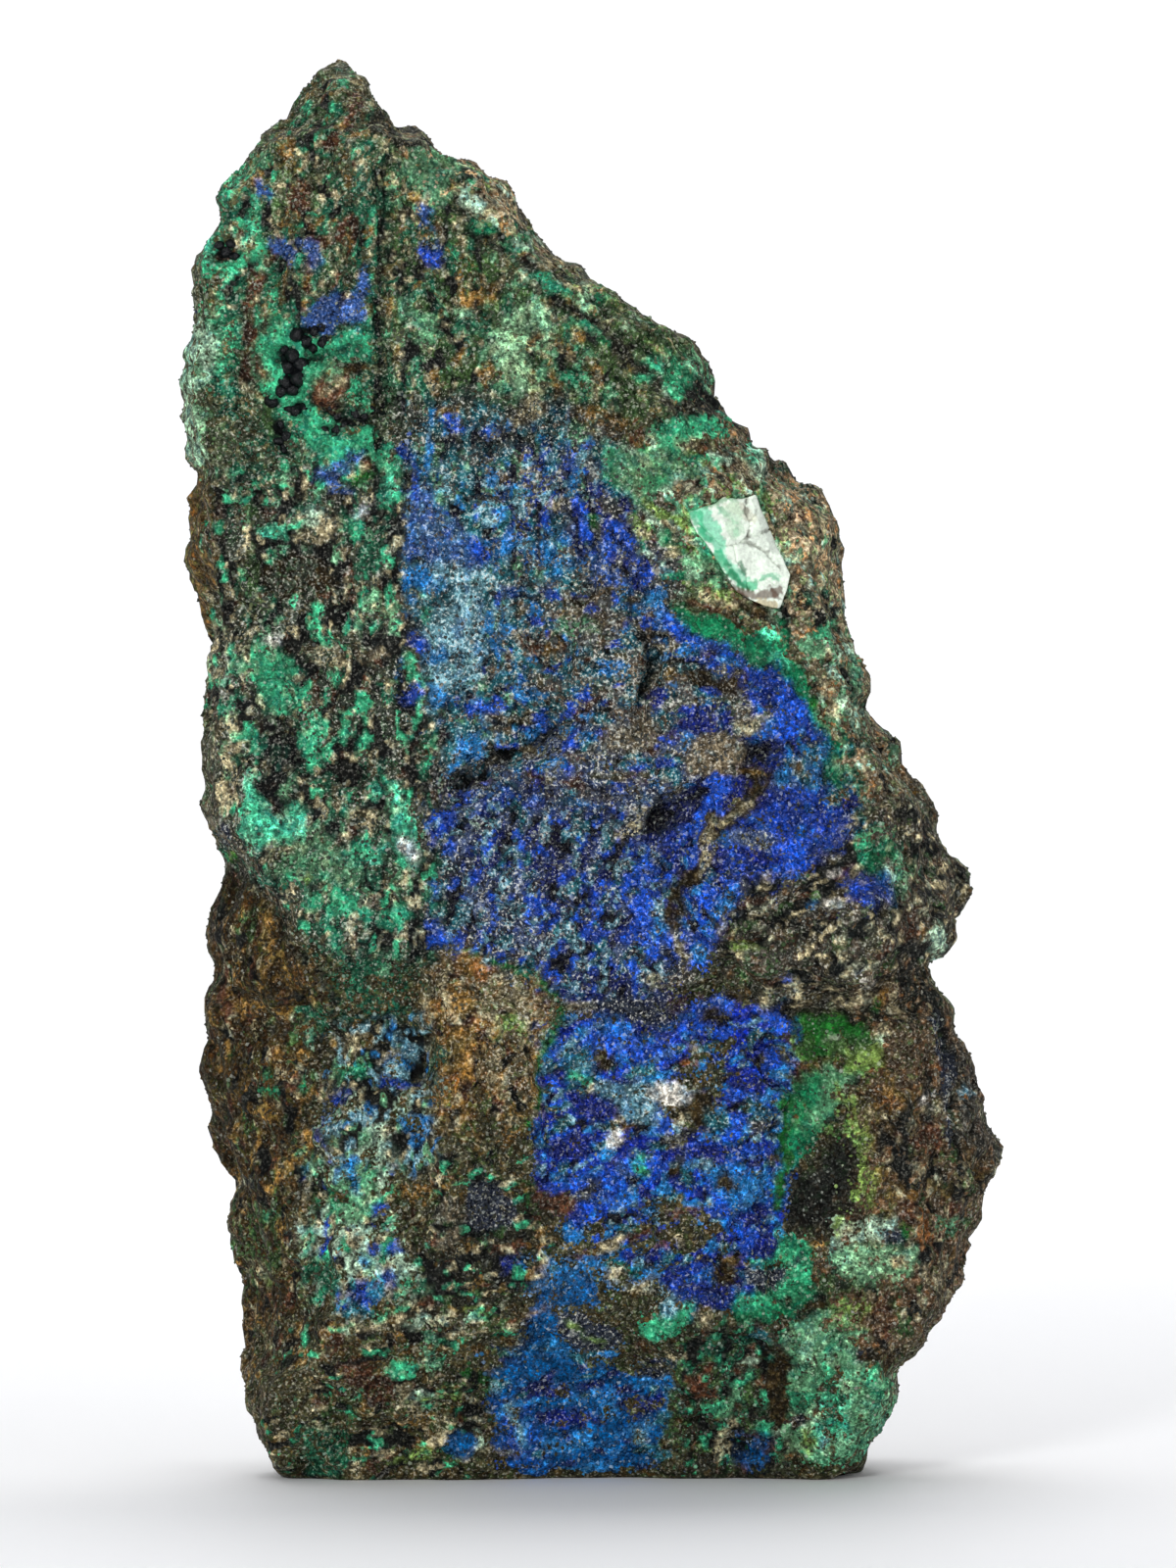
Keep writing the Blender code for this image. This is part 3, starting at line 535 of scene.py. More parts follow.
    ("bare", 0.9, [(612, 1268), (655, 1240), (700, 1226), (735, 1248), (738, 1262), (690, 1274)]),
    ("azurite_sky", 0.62, [(520, 1305), (600, 1282), (675, 1284), (672, 1298), (600, 1315), (545, 1322)]),
    ("azurite_soft", 0.70, [(560, 1320), (600, 1305), (615, 1325), (575, 1345), (556, 1342)]),
    ("azurite_deep", 0.75, [(680, 1290), (760, 1290), (762, 1330), (700, 1345), (675, 1320)]),
    # the wide soft blue bed at the foot
    ("azurite_soft", 0.97, [(555, 1342), (576, 1352), (572, 1372), (582, 1392), (640, 1394), (684, 1398),
        (690, 1420), (684, 1450), (672, 1500), (540, 1495), (506, 1480), (498, 1440), (505, 1405),
        (530, 1372)]),
    ("azurite", 0.55, [(505, 1440), (545, 1440), (560, 1490), (510, 1480)]),
    ("azurite_soft", 0.90, [(750, 1478), (775, 1470), (778, 1492), (750, 1496)]),
    # greens below the shoulder
    ("leaf", 0.96, [(812, 1030), (885, 1036), (888, 1055), (850, 1062), (845, 1085), (815, 1088)]),
    ("moss", 0.80, [(835, 1062), (880, 1056), (882, 1075), (840, 1085)]),
    ("lime", 0.90, [(868, 1075), (900, 1058), (902, 1072), (875, 1095), (850, 1100)]),
    ("rust", 0.75, [(805, 1088), (852, 1085), (846, 1105), (805, 1110)]),
    ("emerald", 0.96, [(800, 1105), (830, 1098), (870, 1095), (850, 1130), (820, 1165), (800, 1190),
        (785, 1215), (786, 1190), (796, 1160)]),
    ("sage", 0.80, [(835, 1098), (880, 1092), (862, 1118), (832, 1145), (815, 1150)]),
    ("moss", 0.65, [(875, 1130), (905, 1140), (905, 1230), (880, 1245), (872, 1190)]),
    ("ochre", 0.45, [(880, 1120), (935, 1095), (930, 1180), (905, 1240), (885, 1240)]),
    ("gold_rock", 0.72, [(892, 1062), (926, 1042), (950, 1052), (946, 1100), (930, 1128), (905, 1130)]),
    ("ochre", 0.75, [(905, 1108), (925, 1102), (930, 1122), (915, 1132), (903, 1124)]),
    ("lime", 0.50, [(868, 1132), (888, 1128), (896, 1160), (880, 1176), (870, 1160)]),
    ("lime", 0.50, [(872, 1190), (884, 1182), (888, 1215), (876, 1236), (868, 1215)]),
    ("black_rock_and_painted_shade", 0.85, [(950, 1036), (968, 1046), (984, 1100), (990, 1166), (978, 1168), (964, 1120),
        (954, 1085)]),
    ("black_rock_and_painted_shade", 0.70, [(905, 1142), (948, 1132), (962, 1168), (955, 1205), (935, 1218), (915, 1190)]),
    ("lump_rock", 0.75, [(978, 1060), (996, 1090), (1012, 1150), (1016, 1180), (1002, 1210), (990, 1160)]),
    ("emerald", 0.96, [(792, 1262), (812, 1255), (828, 1275), (826, 1300), (822, 1330), (800, 1345),
        (752, 1348), (750, 1322), (775, 1312), (798, 1312), (806, 1288), (790, 1280)]),
    ("malachite", 0.70, [(765, 1262), (790, 1250), (800, 1285), (775, 1285)]),
    ("malachite", 0.75, [(794, 1266), (812, 1258), (826, 1276), (822, 1312), (800, 1326), (768, 1336),
        (754, 1330), (778, 1314), (802, 1290)]),
    ("pale_mint", 0.70, [(862, 1248), (902, 1245), (900, 1265), (868, 1275), (852, 1282), (848, 1270)]),
    ("sage", 0.90, [(848, 1285), (880, 1278), (925, 1272), (932, 1290), (925, 1308), (880, 1305),
        (860, 1310)]),
    ("lime", 0.60, [(880, 1275), (928, 1272), (925, 1300), (890, 1298)]),
    ("mint", 0.72, [(852, 1290), (880, 1280), (925, 1276), (930, 1290), (900, 1302), (864, 1306)]),
    ("sage", 0.60, [(822, 1330), (890, 1312), (896, 1350), (872, 1388), (820, 1380)]),
    ("lime", 0.50, [(850, 1322), (886, 1315), (890, 1340), (866, 1352), (846, 1342)]),
    ("black_rock_and_painted_shade", 0.75, [(818, 1335), (835, 1318), (872, 1306), (878, 1314), (846, 1332), (828, 1345)]),
    ("sage", 0.94, [(805, 1350), (830, 1345), (860, 1375), (900, 1395), (918, 1410), (905, 1450),
        (885, 1485), (850, 1500), (800, 1500), (790, 1480), (812, 1450), (806, 1410)]),
    ("emerald", 0.60, [(815, 1415), (850, 1410), (855, 1450), (815, 1450)]),
    ("malachite_mint", 0.45, [(840, 1425), (900, 1400), (895, 1470), (850, 1495), (830, 1470)]),
    ("malachite_deep", 0.55, [(700, 1360), (790, 1355), (785, 1400), (740, 1450), (700, 1440)]),
    ("malachite", 0.85, [(672, 1332), (698, 1328), (700, 1345), (682, 1356), (655, 1372), (652, 1360)]),
    # greens and blues of the shoulder
    ("malachite_deep", 0.60, [(850, 785), (880, 790), (900, 850), (870, 850)]),
    ("emerald", 0.70, [(868, 855), (905, 848), (930, 880), (925, 905), (905, 918), (885, 880)]),
    ("azurite_night", 0.60, [(840, 830), (900, 850), (905, 915), (850, 925), (835, 890)]),
    ("azurite", 0.85, [(862, 892), (905, 888), (908, 912), (868, 918)]),
    # painted shadow under the shoulder and in its notch
    ("black_rock_and_painted_shade", 0.80, [(925, 985), (945, 990), (950, 1010), (935, 1045), (905, 1046), (900, 1030),
        (920, 1010)]),
    ("black_rock_and_painted_shade", 0.80, [(905, 952), (935, 945), (950, 972), (930, 985), (905, 975)]),
    ("brown_rock", 0.80, [(805, 1020), (860, 1028), (892, 1036), (885, 1046), (830, 1035), (805, 1031)]),
    ("black_rock_and_painted_shade", 0.72, [(905, 905), (930, 912), (925, 940), (900, 945), (890, 925)]),
]

# each area is flecked with others in ragged patches that follow the rock's layers:
# (slope of the layers in degrees, [(mineral, share, patch size in tenths, least noise)], outline)
FLECKS = [
    (80.0, [("malachite_deep", 0.8, 16, 0.08), ("malachite", 0.8, 13, 0.26), ("rust", 0.6, 18, 0.20),
         ("ochre", 0.5, 13, 0.28), ("black_rock_and_painted_shade", 0.85, 14, 0.18), ("cream", 0.6, 7, 0.34)],
     [(345, 50), (400, 130), (400, 330), (220, 330), (205, 270), (260, 150)]),
    (84.0, [("moss", 0.7, 16, 0.10), ("malachite_deep", 0.7, 14, 0.18), ("sage", 0.7, 11, 0.26),
         ("ochre", 0.6, 14, 0.27), ("black_rock_and_painted_shade", 0.9, 13, 0.16), ("cream", 0.6, 7, 0.30)],
     [(400, 150), (470, 170), (560, 260), (640, 330), (620, 420), (520, 405), (400, 410)]),
    (-36.0, [("emerald", 0.8, 14, 0.16), ("rust", 0.6, 14, 0.20), ("lime", 0.5, 13, 0.26),
         ("black_rock_and_painted_shade", 0.75, 13, 0.18), ("pale_mint", 0.7, 9, 0.30), ("cream", 0.7, 9, 0.30)],
     [(450, 150), (530, 190), (600, 270), (700, 350), (745, 415), (690, 420), (600, 310), (500, 250)]),
    (-40.0, [("sage", 0.85, 18, 0.00), ("emerald", 0.85, 14, 0.20), ("pale_mint", 0.8, 12, 0.24),
         ("rust", 0.7, 11, 0.28), ("lime", 0.6, 13, 0.22), ("cream", 0.75, 8, 0.32)],
     [(612, 450), (700, 440), (760, 480), (800, 500), (800, 630), (690, 610), (650, 530)]),
    # in the blue areas the sunk near-black flecks are painted shade between the crystals
    (88.0, [("azurite_teal", 0.8, 16, 0.04), ("azurite_sky", 0.75, 11, 0.24),
         ("azurite_painted_shade", 0.9, 13, 0.16), ("azurite", 0.7, 13, 0.36), ("azurite_pale", 0.7, 9, 0.24),
         ("sage", 0.5, 9, 0.30)],
     [(425, 440), (600, 425), (620, 480), (600, 560), (520, 620), (540, 740), (460, 795), (410, 700),
      (430, 600), (412, 540)]),
    (85.0, [("azurite_painted_shade", 0.85, 14, 0.02), ("stippled_rock", 0.7, 12, 0.14),
         ("azurite_teal", 0.7, 10, 0.24)],
     [(415, 400), (610, 415), (620, 450), (560, 470), (500, 450), (440, 470), (418, 520)]),
    (100.0, [("azurite_deep", 0.9, 14, 0.08), ("grey_rock", 0.7, 11, 0.16),
         ("azurite_painted_shade", 0.9, 11, 0.20), ("azurite_bright", 0.8, 11, 0.24)],
     [(600, 440), (640, 500), (680, 600), (670, 650), (600, 570), (560, 520)]),
    (-10.0, [("azurite_teal", 0.7, 16, 0.12), ("azurite", 0.8, 13, 0.22), ("rust", 0.5, 16, 0.22),
         ("azurite_sky", 0.5, 13, 0.26), ("black_rock_and_painted_shade", 0.75, 13, 0.22), ("pale_earth", 0.6, 11, 0.26)],
     [(520, 600), (640, 590), (780, 700), (790, 740), (720, 810), (560, 810), (480, 800)]),
    (62.0, [("azurite_grey", 0.7, 16, 0.08), ("azurite", 0.85, 13, 0.17), ("azurite_teal", 0.6, 14, 0.22),
         ("azurite_painted_shade", 0.95, 13, 0.14), ("azurite_bright", 0.8, 9, 0.30),
         ("azurite_pale", 0.5, 9, 0.25)],
     [(440, 805), (700, 830), (720, 900), (660, 1045), (560, 1015), (440, 965)]),
    (-55.0, [("azurite_bright", 0.8, 14, 0.14), ("azurite_deep", 0.85, 13, 0.14),
         ("azurite_sky", 0.6, 11, 0.28), ("azurite_painted_shade", 0.8, 9, 0.28)],
     [(700, 640), (850, 770), (870, 840), (800, 895), (690, 980), (650, 900), (740, 800), (790, 740)]),
    (85.0, [("malachite_deep", 0.75, 16, 0.22), ("rust", 0.5, 16, 0.26), ("sage", 0.7, 11, 0.30),
         ("black_rock_and_painted_shade", 0.9, 15, 0.04), ("malachite", 0.85, 13, 0.32), ("cream", 0.6, 7, 0.30)],
     [(212, 480), (420, 460), (425, 560), (440, 700), (450, 800), (440, 985), (330, 960), (212, 880)]),
    (78.0, [("rust", 0.6, 16, 0.14), ("moss", 0.6, 13, 0.22), ("ochre", 0.6, 14, 0.18),
         ("black_rock_and_painted_shade", 0.85, 14, 0.16), ("cream", 0.4, 7, 0.32)],
     [(205, 900), (300, 960), (345, 1010), (340, 1180), (310, 1400), (240, 1460)]),
    (15.0, [("moss", 0.6, 14, 0.18), ("rust", 0.6, 14, 0.27), ("ochre", 0.5, 14, 0.22),
         ("black_rock_and_painted_shade", 0.9, 16, 0.02), ("malachite", 0.7, 9, 0.33), ("cream", 0.7, 8, 0.31)],
     [(430, 1170), (560, 1190), (556, 1300), (530, 1365), (492, 1410), (490, 1510), (250, 1510),
      (290, 1350), (420, 1320)]),
    # the hollow: painted shade flecked with pale crystals, with a deeper pit of painted shade on its right
    (70.0, [("black_rock_and_painted_shade", 0.95, 18, -0.22), ("cream", 0.75, 8, 0.26), ("azurite_pale", 0.8, 9, 0.24),
         ("azurite_sky", 0.8, 10, 0.36), ("sage", 0.7, 9, 0.34)],
     [(345, 1040), (440, 1040), (440, 1190), (340, 1190)]),
    (80.0, [("pit_painted_shade", 0.95, 14, -0.12), ("azurite_pale", 0.8, 8, 0.30)],
     [(395, 1045), (440, 1040), (442, 1130), (400, 1105)]),
    (60.0, [("black_rock_and_painted_shade", 0.85, 11, 0.12), ("pale_mint", 0.8, 11, 0.12), ("malachite", 0.8, 13, 0.18),
         ("cream", 0.7, 9, 0.26), ("azurite", 0.7, 11, 0.32)],
     [(315, 1190), (400, 1190), (420, 1320), (315, 1330)]),
    (70.0, [("ochre", 0.7, 16, 0.08), ("rust", 0.6, 13, 0.18), ("cream", 0.6, 9, 0.18),
         ("black_rock_and_painted_shade", 0.7, 11, 0.24)],
     [(440, 980), (560, 1005), (545, 1140), (440, 1165)]),
    (25.0, [("azurite_deep", 0.9, 14, 0.08), ("azurite_bright", 0.85, 13, 0.12),
         ("azurite_teal", 0.6, 13, 0.22), ("azurite_painted_shade", 0.95, 11, 0.22), ("azurite_sky", 0.9, 10, 0.28),
         ("azurite_pale", 0.7, 8, 0.36)],
     [(550, 1045), (810, 1025), (790, 1250), (760, 1330), (690, 1320), (580, 1250), (545, 1180)]),
    (10.0, [("azurite_night", 0.95, 14, 0.34), ("azurite_teal", 0.97, 18, 0.22),
         ("azurite_sky", 0.97, 12, 0.30)],
     [(505, 1370), (690, 1390), (680, 1500), (505, 1490)]),
    (25.0, [("rust", 0.6, 14, 0.24), ("moss", 0.5, 13, 0.25), ("black_rock_and_painted_shade", 0.9, 18, -0.02),
         ("pale_earth", 0.7, 11, 0.28), ("cream", 0.9, 8, 0.30)],
     [(750, 905), (860, 845), (940, 810), (1000, 900), (970, 990), (900, 1030), (800, 1025), (735, 960)]),
    (-72.0, [("rust", 0.6, 20, 0.20), ("gold_rock", 0.6, 20, 0.14), ("moss", 0.6, 18, 0.24),
         ("black_rock_and_painted_shade", 0.85, 20, 0.06), ("cream", 0.5, 9, 0.34)],
     [(880, 1010), (960, 980), (1015, 1150), (975, 1330), (900, 1400), (880, 1300), (900, 1150)]),
    (-64.0, [("brown_rock", 0.6, 14, 0.22), ("cream", 0.5, 11, 0.22), ("sage", 0.7, 13, 0.20),
         ("black_rock_and_painted_shade", 0.75, 13, 0.18), ("pale_mint", 0.7, 9, 0.30)],
     [(790, 500), (860, 500), (885, 680), (940, 820), (860, 800), (820, 680)]),
    (60.0, [("malachite", 0.7, 14, 0.24), ("mint", 0.8, 14, 0.16), ("malachite_deep", 0.6, 14, 0.34),
         ("rust", 0.5, 9, 0.42)],
     [(800, 1350), (920, 1400), (850, 1505), (790, 1490)]),
    (85.0, [("moss", 0.6, 14, 0.14), ("rust", 0.7, 13, 0.18), ("black_rock_and_painted_shade", 0.85, 14, 0.10),
         ("malachite", 0.6, 9, 0.30)],
     [(690, 1350), (810, 1350), (810, 1505), (690, 1505)]),
    (-50.0, [("leaf", 0.7, 14, 0.18), ("lime", 0.6, 11, 0.26), ("rust", 0.5, 11, 0.28),
         ("black_rock_and_painted_shade", 0.6, 11, 0.24)],
     [(800, 1040), (900, 1050), (880, 1150), (800, 1150)]),
]
FLECK_STRETCH, FLECK_BLEND, FLECK_EDGE, FLECK_SHIFT = 2.2, 30.0, 0.08, 0.017

# small growths, each laid over the ones before it:
# (mineral, [(share, right, down, half width, half height, turn in degrees where it is turned)])
SPOTS = [
    ("azurite_night", [(0.9, 602, 1418, 12, 9)]),
    ("azurite_grey", [(0.6, 770, 850, 22, 12)]),
    ("azurite_sky", [(0.6, 680, 945, 10, 9), (0.55, 735, 915, 8, 14, 30), (0.55, 712, 970, 9, 9),
        (0.85, 445, 423, 5, 7), (0.5, 517, 425, 6, 5), (0.75, 432, 594, 9, 10), (0.75, 445, 716, 9, 9),
        (0.7, 478, 765, 14, 16, 20), (0.6, 520, 560, 14, 8, -30), (0.6, 560, 565, 8, 12),
        (0.8, 357, 1192, 9, 8), (0.85, 358, 1208, 5, 6), (0.4, 420, 1155, 12, 10), (0.8, 583, 1258, 8, 10),
        (0.7, 575, 1470, 26, 9, -10)]),
    ("white", [(0.7, 360, 526, 3, 6, 20), (0.7, 280, 648, 6, 5), (0.8, 418, 866, 6, 10, -10),
        (0.97, 684, 1107, 9, 9, 20), (0.95, 692, 1118, 14, 8, 20), (0.8, 672, 1114, 9, 5),
        (0.5, 548, 955, 4, 3), (0.8, 853, 927, 7, 5), (0.7, 846, 892, 8, 6, -30)]),
    ("cream", [(0.6, 306, 130, 5, 4), (0.5, 540, 222, 8, 10), (0.7, 705, 450, 14, 5, -10),
        (0.8, 680, 558, 6, 5), (0.5, 835, 575, 16, 10), (0.35, 830, 530, 20, 16),
        (0.4, 640, 835, 20, 10, -20), (0.6, 567, 516, 4, 5), (0.6, 253, 548, 6, 18), (0.7, 388, 585, 4, 8),
        (0.6, 236, 598, 6, 6), (0.65, 224, 660, 5, 14), (0.7, 230, 682, 8, 6), (0.45, 330, 665, 18, 12),
        (0.7, 229, 770, 7, 16, -10), (0.75, 232, 815, 11, 20, -8), (0.5, 232, 745, 8, 8),
        (0.5, 372, 838, 16, 8), (0.6, 248, 1208, 4, 6), (0.4, 308, 1415, 9, 26, 10),
        (0.4, 445, 1460, 10, 10), (0.6, 463, 1022, 9, 12), (0.4, 360, 1065, 12, 10, -30),
        (0.75, 706, 1062, 6, 5), (0.8, 608, 1108, 5, 5), (0.9, 626, 1268, 7, 10, 35),
        (0.75, 656, 1306, 10, 7, -30), (0.6, 632, 1300, 10, 6), (0.5, 664, 1008, 10, 8),
        (0.55, 590, 1030, 12, 8), (0.5, 715, 1350, 8, 10), (0.8, 961, 903, 5, 4), (0.6, 936, 920, 3, 3),
        (0.7, 855, 968, 8, 5, 10), (0.7, 872, 985, 4, 4), (0.75, 848, 1010, 8, 5, -40),
        (0.85, 876, 1018, 18, 4, -15), (0.6, 783, 930, 4, 3), (0.5, 962, 1140, 10, 6),
        (0.85, 912, 1290, 10, 6), (0.5, 860, 1260, 8, 5), (0.4, 950, 1300, 12, 10)]),
    ("mint", [(0.75, 590, 302, 8, 12, -20), (0.7, 466, 320, 9, 8), (0.8, 373, 1284, 8, 9, 30)]),
    ("ochre", [(0.5, 292, 150, 22, 10, 60), (0.8, 500, 300, 6, 6), (0.5, 605, 430, 24, 14),
        (0.35, 925, 800, 16, 12, 40), (0.9, 815, 781, 4, 6), (0.5, 573, 630, 8, 10), (0.7, 460, 420, 6, 5),
        (0.6, 268, 938, 8, 14), (0.5, 275, 960, 10, 18), (0.4, 268, 1030, 14, 16), (0.5, 216, 1055, 6, 18),
        (0.4, 275, 1345, 10, 12), (0.6, 250, 1395, 8, 40), (0.8, 486, 990, 14, 9, -10),
        (0.85, 470, 1075, 16, 30), (0.6, 538, 1105, 8, 14), (0.7, 618, 1132, 8, 5, 10),
        (0.7, 746, 1286, 10, 7), (0.7, 945, 945, 7, 4, 20), (0.85, 902, 1010, 8, 8),
        (0.6, 920, 1115, 14, 12, 20), (0.75, 924, 1222, 7, 10), (0.8, 912, 1290, 5, 3),
        (0.7, 834, 1268, 9, 6)]),
    ("malachite_deep", [(0.8, 838, 600, 5, 3), (0.7, 380, 560, 8, 24), (0.8, 372, 985, 8, 18),
        (0.7, 325, 1030, 12, 10), (0.6, 442, 1072, 4, 12), (0.6, 325, 1308, 18, 14)]),
    ("orange", [(0.6, 545, 340, 5, 6), (0.6, 337, 1374, 6, 4), (0.5, 492, 990, 8, 6),
        (0.6, 462, 1105, 7, 9), (0.6, 430, 1200, 9, 5), (0.9, 697, 1081, 6, 6), (0.5, 915, 1120, 8, 8),
        (0.75, 938, 1255, 8, 16, 10)]),
    ("sage", [(0.7, 358, 68, 9, 6, 20), (0.6, 326, 82, 5, 5), (0.7, 262, 158, 8, 6, 40),
        (0.8, 192, 380, 8, 14), (0.8, 565, 374, 6, 6), (0.7, 435, 340, 14, 12), (0.6, 865, 790, 6, 4),
        (0.8, 452, 512, 5, 8), (0.5, 392, 625, 14, 10), (0.6, 280, 878, 8, 6), (0.6, 388, 985, 4, 8),
        (0.7, 508, 1415, 6, 9), (0.6, 322, 1058, 4, 10), (0.75, 738, 1432, 6, 16), (0.7, 915, 890, 12, 12),
        (0.5, 905, 850, 10, 10), (0.4, 965, 1255, 16, 12), (0.7, 880, 1440, 16, 30)]),
    ("mint", [(0.5, 925, 905, 4, 10), (0.6, 912, 1315, 6, 12, 10)]),
    ("emerald", [(0.8, 492, 232, 12, 6, 20), (0.9, 686, 595, 11, 9), (0.6, 314, 1112, 6, 6),
        (0.6, 272, 1114, 6, 8), (0.6, 345, 1222, 6, 8), (0.6, 640, 1290, 12, 4, 5)]),
    ("malachite", [(0.7, 312, 110, 8, 5, 30), (0.9, 226, 205, 9, 8, 30), (0.7, 560, 290, 14, 6, 10),
        (0.8, 590, 330, 16, 4, 5), (0.6, 592, 388, 14, 10), (0.85, 838, 640, 7, 4),
        (0.7, 232, 692, 8, 3, -10), (0.6, 325, 635, 6, 8), (0.7, 357, 750, 6, 10, -20),
        (0.6, 335, 700, 9, 7), (0.85, 349, 908, 12, 10, 10), (0.85, 402, 932, 9, 13, 20),
        (0.7, 326, 892, 4, 4), (0.6, 372, 866, 10, 6), (0.6, 305, 1175, 7, 4, -30), (0.6, 274, 1238, 4, 6),
        (0.7, 460, 1372, 8, 6), (0.6, 360, 1092, 14, 6, -10), (0.8, 593, 1100, 14, 5),
        (0.75, 658, 1188, 6, 8), (0.7, 727, 1440, 10, 6)]),
    ("leaf", [(0.6, 824, 715, 6, 10, -30), (0.6, 604, 538, 6, 6), (0.7, 476, 1390, 8, 8),
        (0.6, 495, 1410, 8, 14), (0.8, 531, 1152, 7, 9, -20), (0.6, 542, 1220, 3, 12),
        (0.7, 896, 1020, 6, 6), (0.9, 835, 1048, 14, 8), (0.85, 870, 1046, 14, 8)]),
    ("azurite_pale", [(0.9, 682, 590, 5, 4), (0.4, 515, 925, 14, 10), (0.7, 408, 1098, 10, 7),
        (0.6, 412, 1068, 14, 7), (0.6, 672, 1325, 8, 12), (0.6, 507, 1418, 6, 9), (0.7, 988, 1113, 3, 3)]),
    ("azurite", [(0.8, 440, 256, 11, 12, 40), (0.7, 418, 712, 8, 14), (0.5, 415, 1108, 16, 6)]),
    ("azurite_bright", [(0.8, 800, 868, 16, 12), (0.85, 718, 830, 8, 6, -40), (0.55, 465, 434, 7, 6),
        (0.45, 500, 436, 6, 5), (0.8, 425, 656, 9, 7), (0.75, 485, 718, 14, 7), (0.85, 545, 730, 12, 14),
        (0.7, 485, 560, 10, 12), (0.6, 590, 460, 6, 16, 10), (0.7, 452, 840, 10, 8),
        (0.8, 716, 1040, 6, 5)]),
    ("azurite_sky", [(0.7, 440, 670, 12, 8), (0.7, 536, 745, 8, 12, 20), (0.6, 575, 735, 10, 6),
        (0.6, 585, 500, 6, 12, 30), (0.7, 370, 1282, 4, 4), (0.5, 405, 1085, 12, 6),
        (0.85, 713, 1090, 5, 8, 30), (0.85, 832, 927, 4, 3)]),
    ("white", [(0.98, 749, 1293, 3.5, 3), (0.7, 880, 998, 6, 3), (0.8, 848, 1060, 4, 1.5)]),
    ("azurite_deep", [(0.7, 770, 872, 20, 10), (0.75, 720, 735, 30, 9, -10), (0.7, 676, 715, 10, 12),
        (0.6, 745, 745, 8, 6), (0.8, 333, 1155, 4, 26), (0.85, 740, 1170, 40, 10, -10),
        (0.9, 524, 1302, 8, 6, -30), (0.4, 570, 1425, 18, 9), (0.4, 655, 1430, 26, 12)]),
    ("tan_rock", [(0.6, 345, 62, 10, 5), (0.55, 645, 745, 30, 20, -20), (0.5, 610, 640, 40, 22),
        (0.6, 380, 665, 16, 10), (0.35, 290, 1060, 10, 14)]),
    ("brown_rock", [(0.7, 712, 690, 22, 10, 15), (0.75, 740, 702, 20, 8, 10), (0.6, 620, 612, 14, 10),
        (0.55, 598, 618, 18, 10), (0.85, 718, 1130, 20, 14), (0.75, 690, 1190, 8, 16, 30),
        (0.7, 745, 1208, 8, 8), (0.85, 742, 1300, 16, 14), (0.8, 730, 1040, 10, 8),
        (0.7, 620, 1080, 12, 10), (0.6, 755, 1022, 22, 8), (0.9, 832, 1336, 18, 8, -10),
        (0.6, 895, 1390, 16, 12)]),
    ("grey_rock", [(0.8, 772, 1134, 12, 9), (0.7, 690, 1165, 14, 8)]),
    ("azurite_sky", [(0.6, 620, 1430, 14, 18)]),
    ("rust", [(0.5, 305, 195, 10, 22), (0.5, 365, 105, 10, 16), (0.7, 254, 368, 10, 30),
        (0.6, 270, 368, 5, 12), (0.6, 256, 335, 10, 14), (0.6, 640, 440, 14, 12),
        (0.75, 728, 460, 16, 6, 30), (0.75, 700, 505, 14, 10), (0.5, 822, 520, 14, 8),
        (0.6, 555, 1210, 10, 8), (0.7, 575, 1222, 20, 16, 10), (0.85, 700, 1238, 14, 6),
        (0.8, 660, 1258, 20, 5, -10), (0.7, 600, 1280, 16, 6), (0.5, 700, 1025, 20, 4),
        (0.6, 950, 1170, 20, 14), (0.6, 915, 1240, 14, 18)]),
    ("pale_mint", [(0.85, 488, 208, 10, 6, 10), (0.8, 545, 252, 8, 6, 30), (0.9, 864, 712, 5, 8, 20),
        (0.8, 868, 735, 5, 16, 10), (0.8, 796, 797, 7, 2), (0.5, 490, 840, 5, 5),
        (0.7, 437, 1350, 14, 3, -15), (0.7, 474, 1351, 7, 3, -20), (0.6, 410, 1290, 12, 12),
        (0.85, 790, 1470, 8, 5, 10), (0.92, 955, 962, 6, 14, 20), (0.7, 905, 885, 6, 6),
        (0.9, 904, 1060, 8, 5, -30)]),
    ("azurite_sky", [(0.8, 795, 790, 10, 9)]),
    # painted shade in small pits and holes
    ("pit_painted_shade", [(0.97, 332, 437, 4, 4), (0.97, 342, 438, 5, 4), (0.8, 665, 412, 4, 12, -20),
        (0.85, 673, 428, 4, 6), (0.7, 728, 585, 9, 7), (0.8, 297, 542, 12, 5, 10),
        (0.7, 300, 765, 16, 8, 10), (0.6, 285, 735, 12, 8), (0.85, 290, 815, 16, 14, 20),
        (0.8, 270, 800, 6, 12), (0.85, 303, 832, 10, 6), (0.8, 440, 965, 10, 14, 30),
        (0.6, 415, 980, 14, 8), (0.7, 470, 828, 12, 4, -10), (0.6, 455, 830, 6, 8),
        (0.9, 266, 994, 10, 6)]),
    ("azurite_violet", [(0.8, 268, 198, 11, 9), (0.75, 373, 287, 8, 14, 20), (0.88, 332, 318, 16, 20),
        (0.85, 362, 318, 12, 18, 10), (0.95, 433, 221, 8, 8), (0.9, 364, 456, 12, 8, -30),
        (0.85, 350, 469, 8, 6, -30), (0.8, 345, 487, 14, 6, 10), (0.55, 615, 575, 14, 12)]),
    ("ochre", [(0.4, 318, 98, 10, 8), (0.5, 682, 692, 14, 6), (0.5, 562, 665, 6, 8),
        (0.4, 290, 990, 24, 14, 10), (0.4, 270, 1140, 12, 20), (0.75, 478, 1018, 16, 14),
        (0.6, 518, 1160, 9, 8), (0.55, 420, 1210, 20, 14)]),
    ("bare", [(0.9, 190, 300, 6, 14), (0.9, 256, 1010, 10, 10), (0.9, 285, 1420, 28, 30)]),
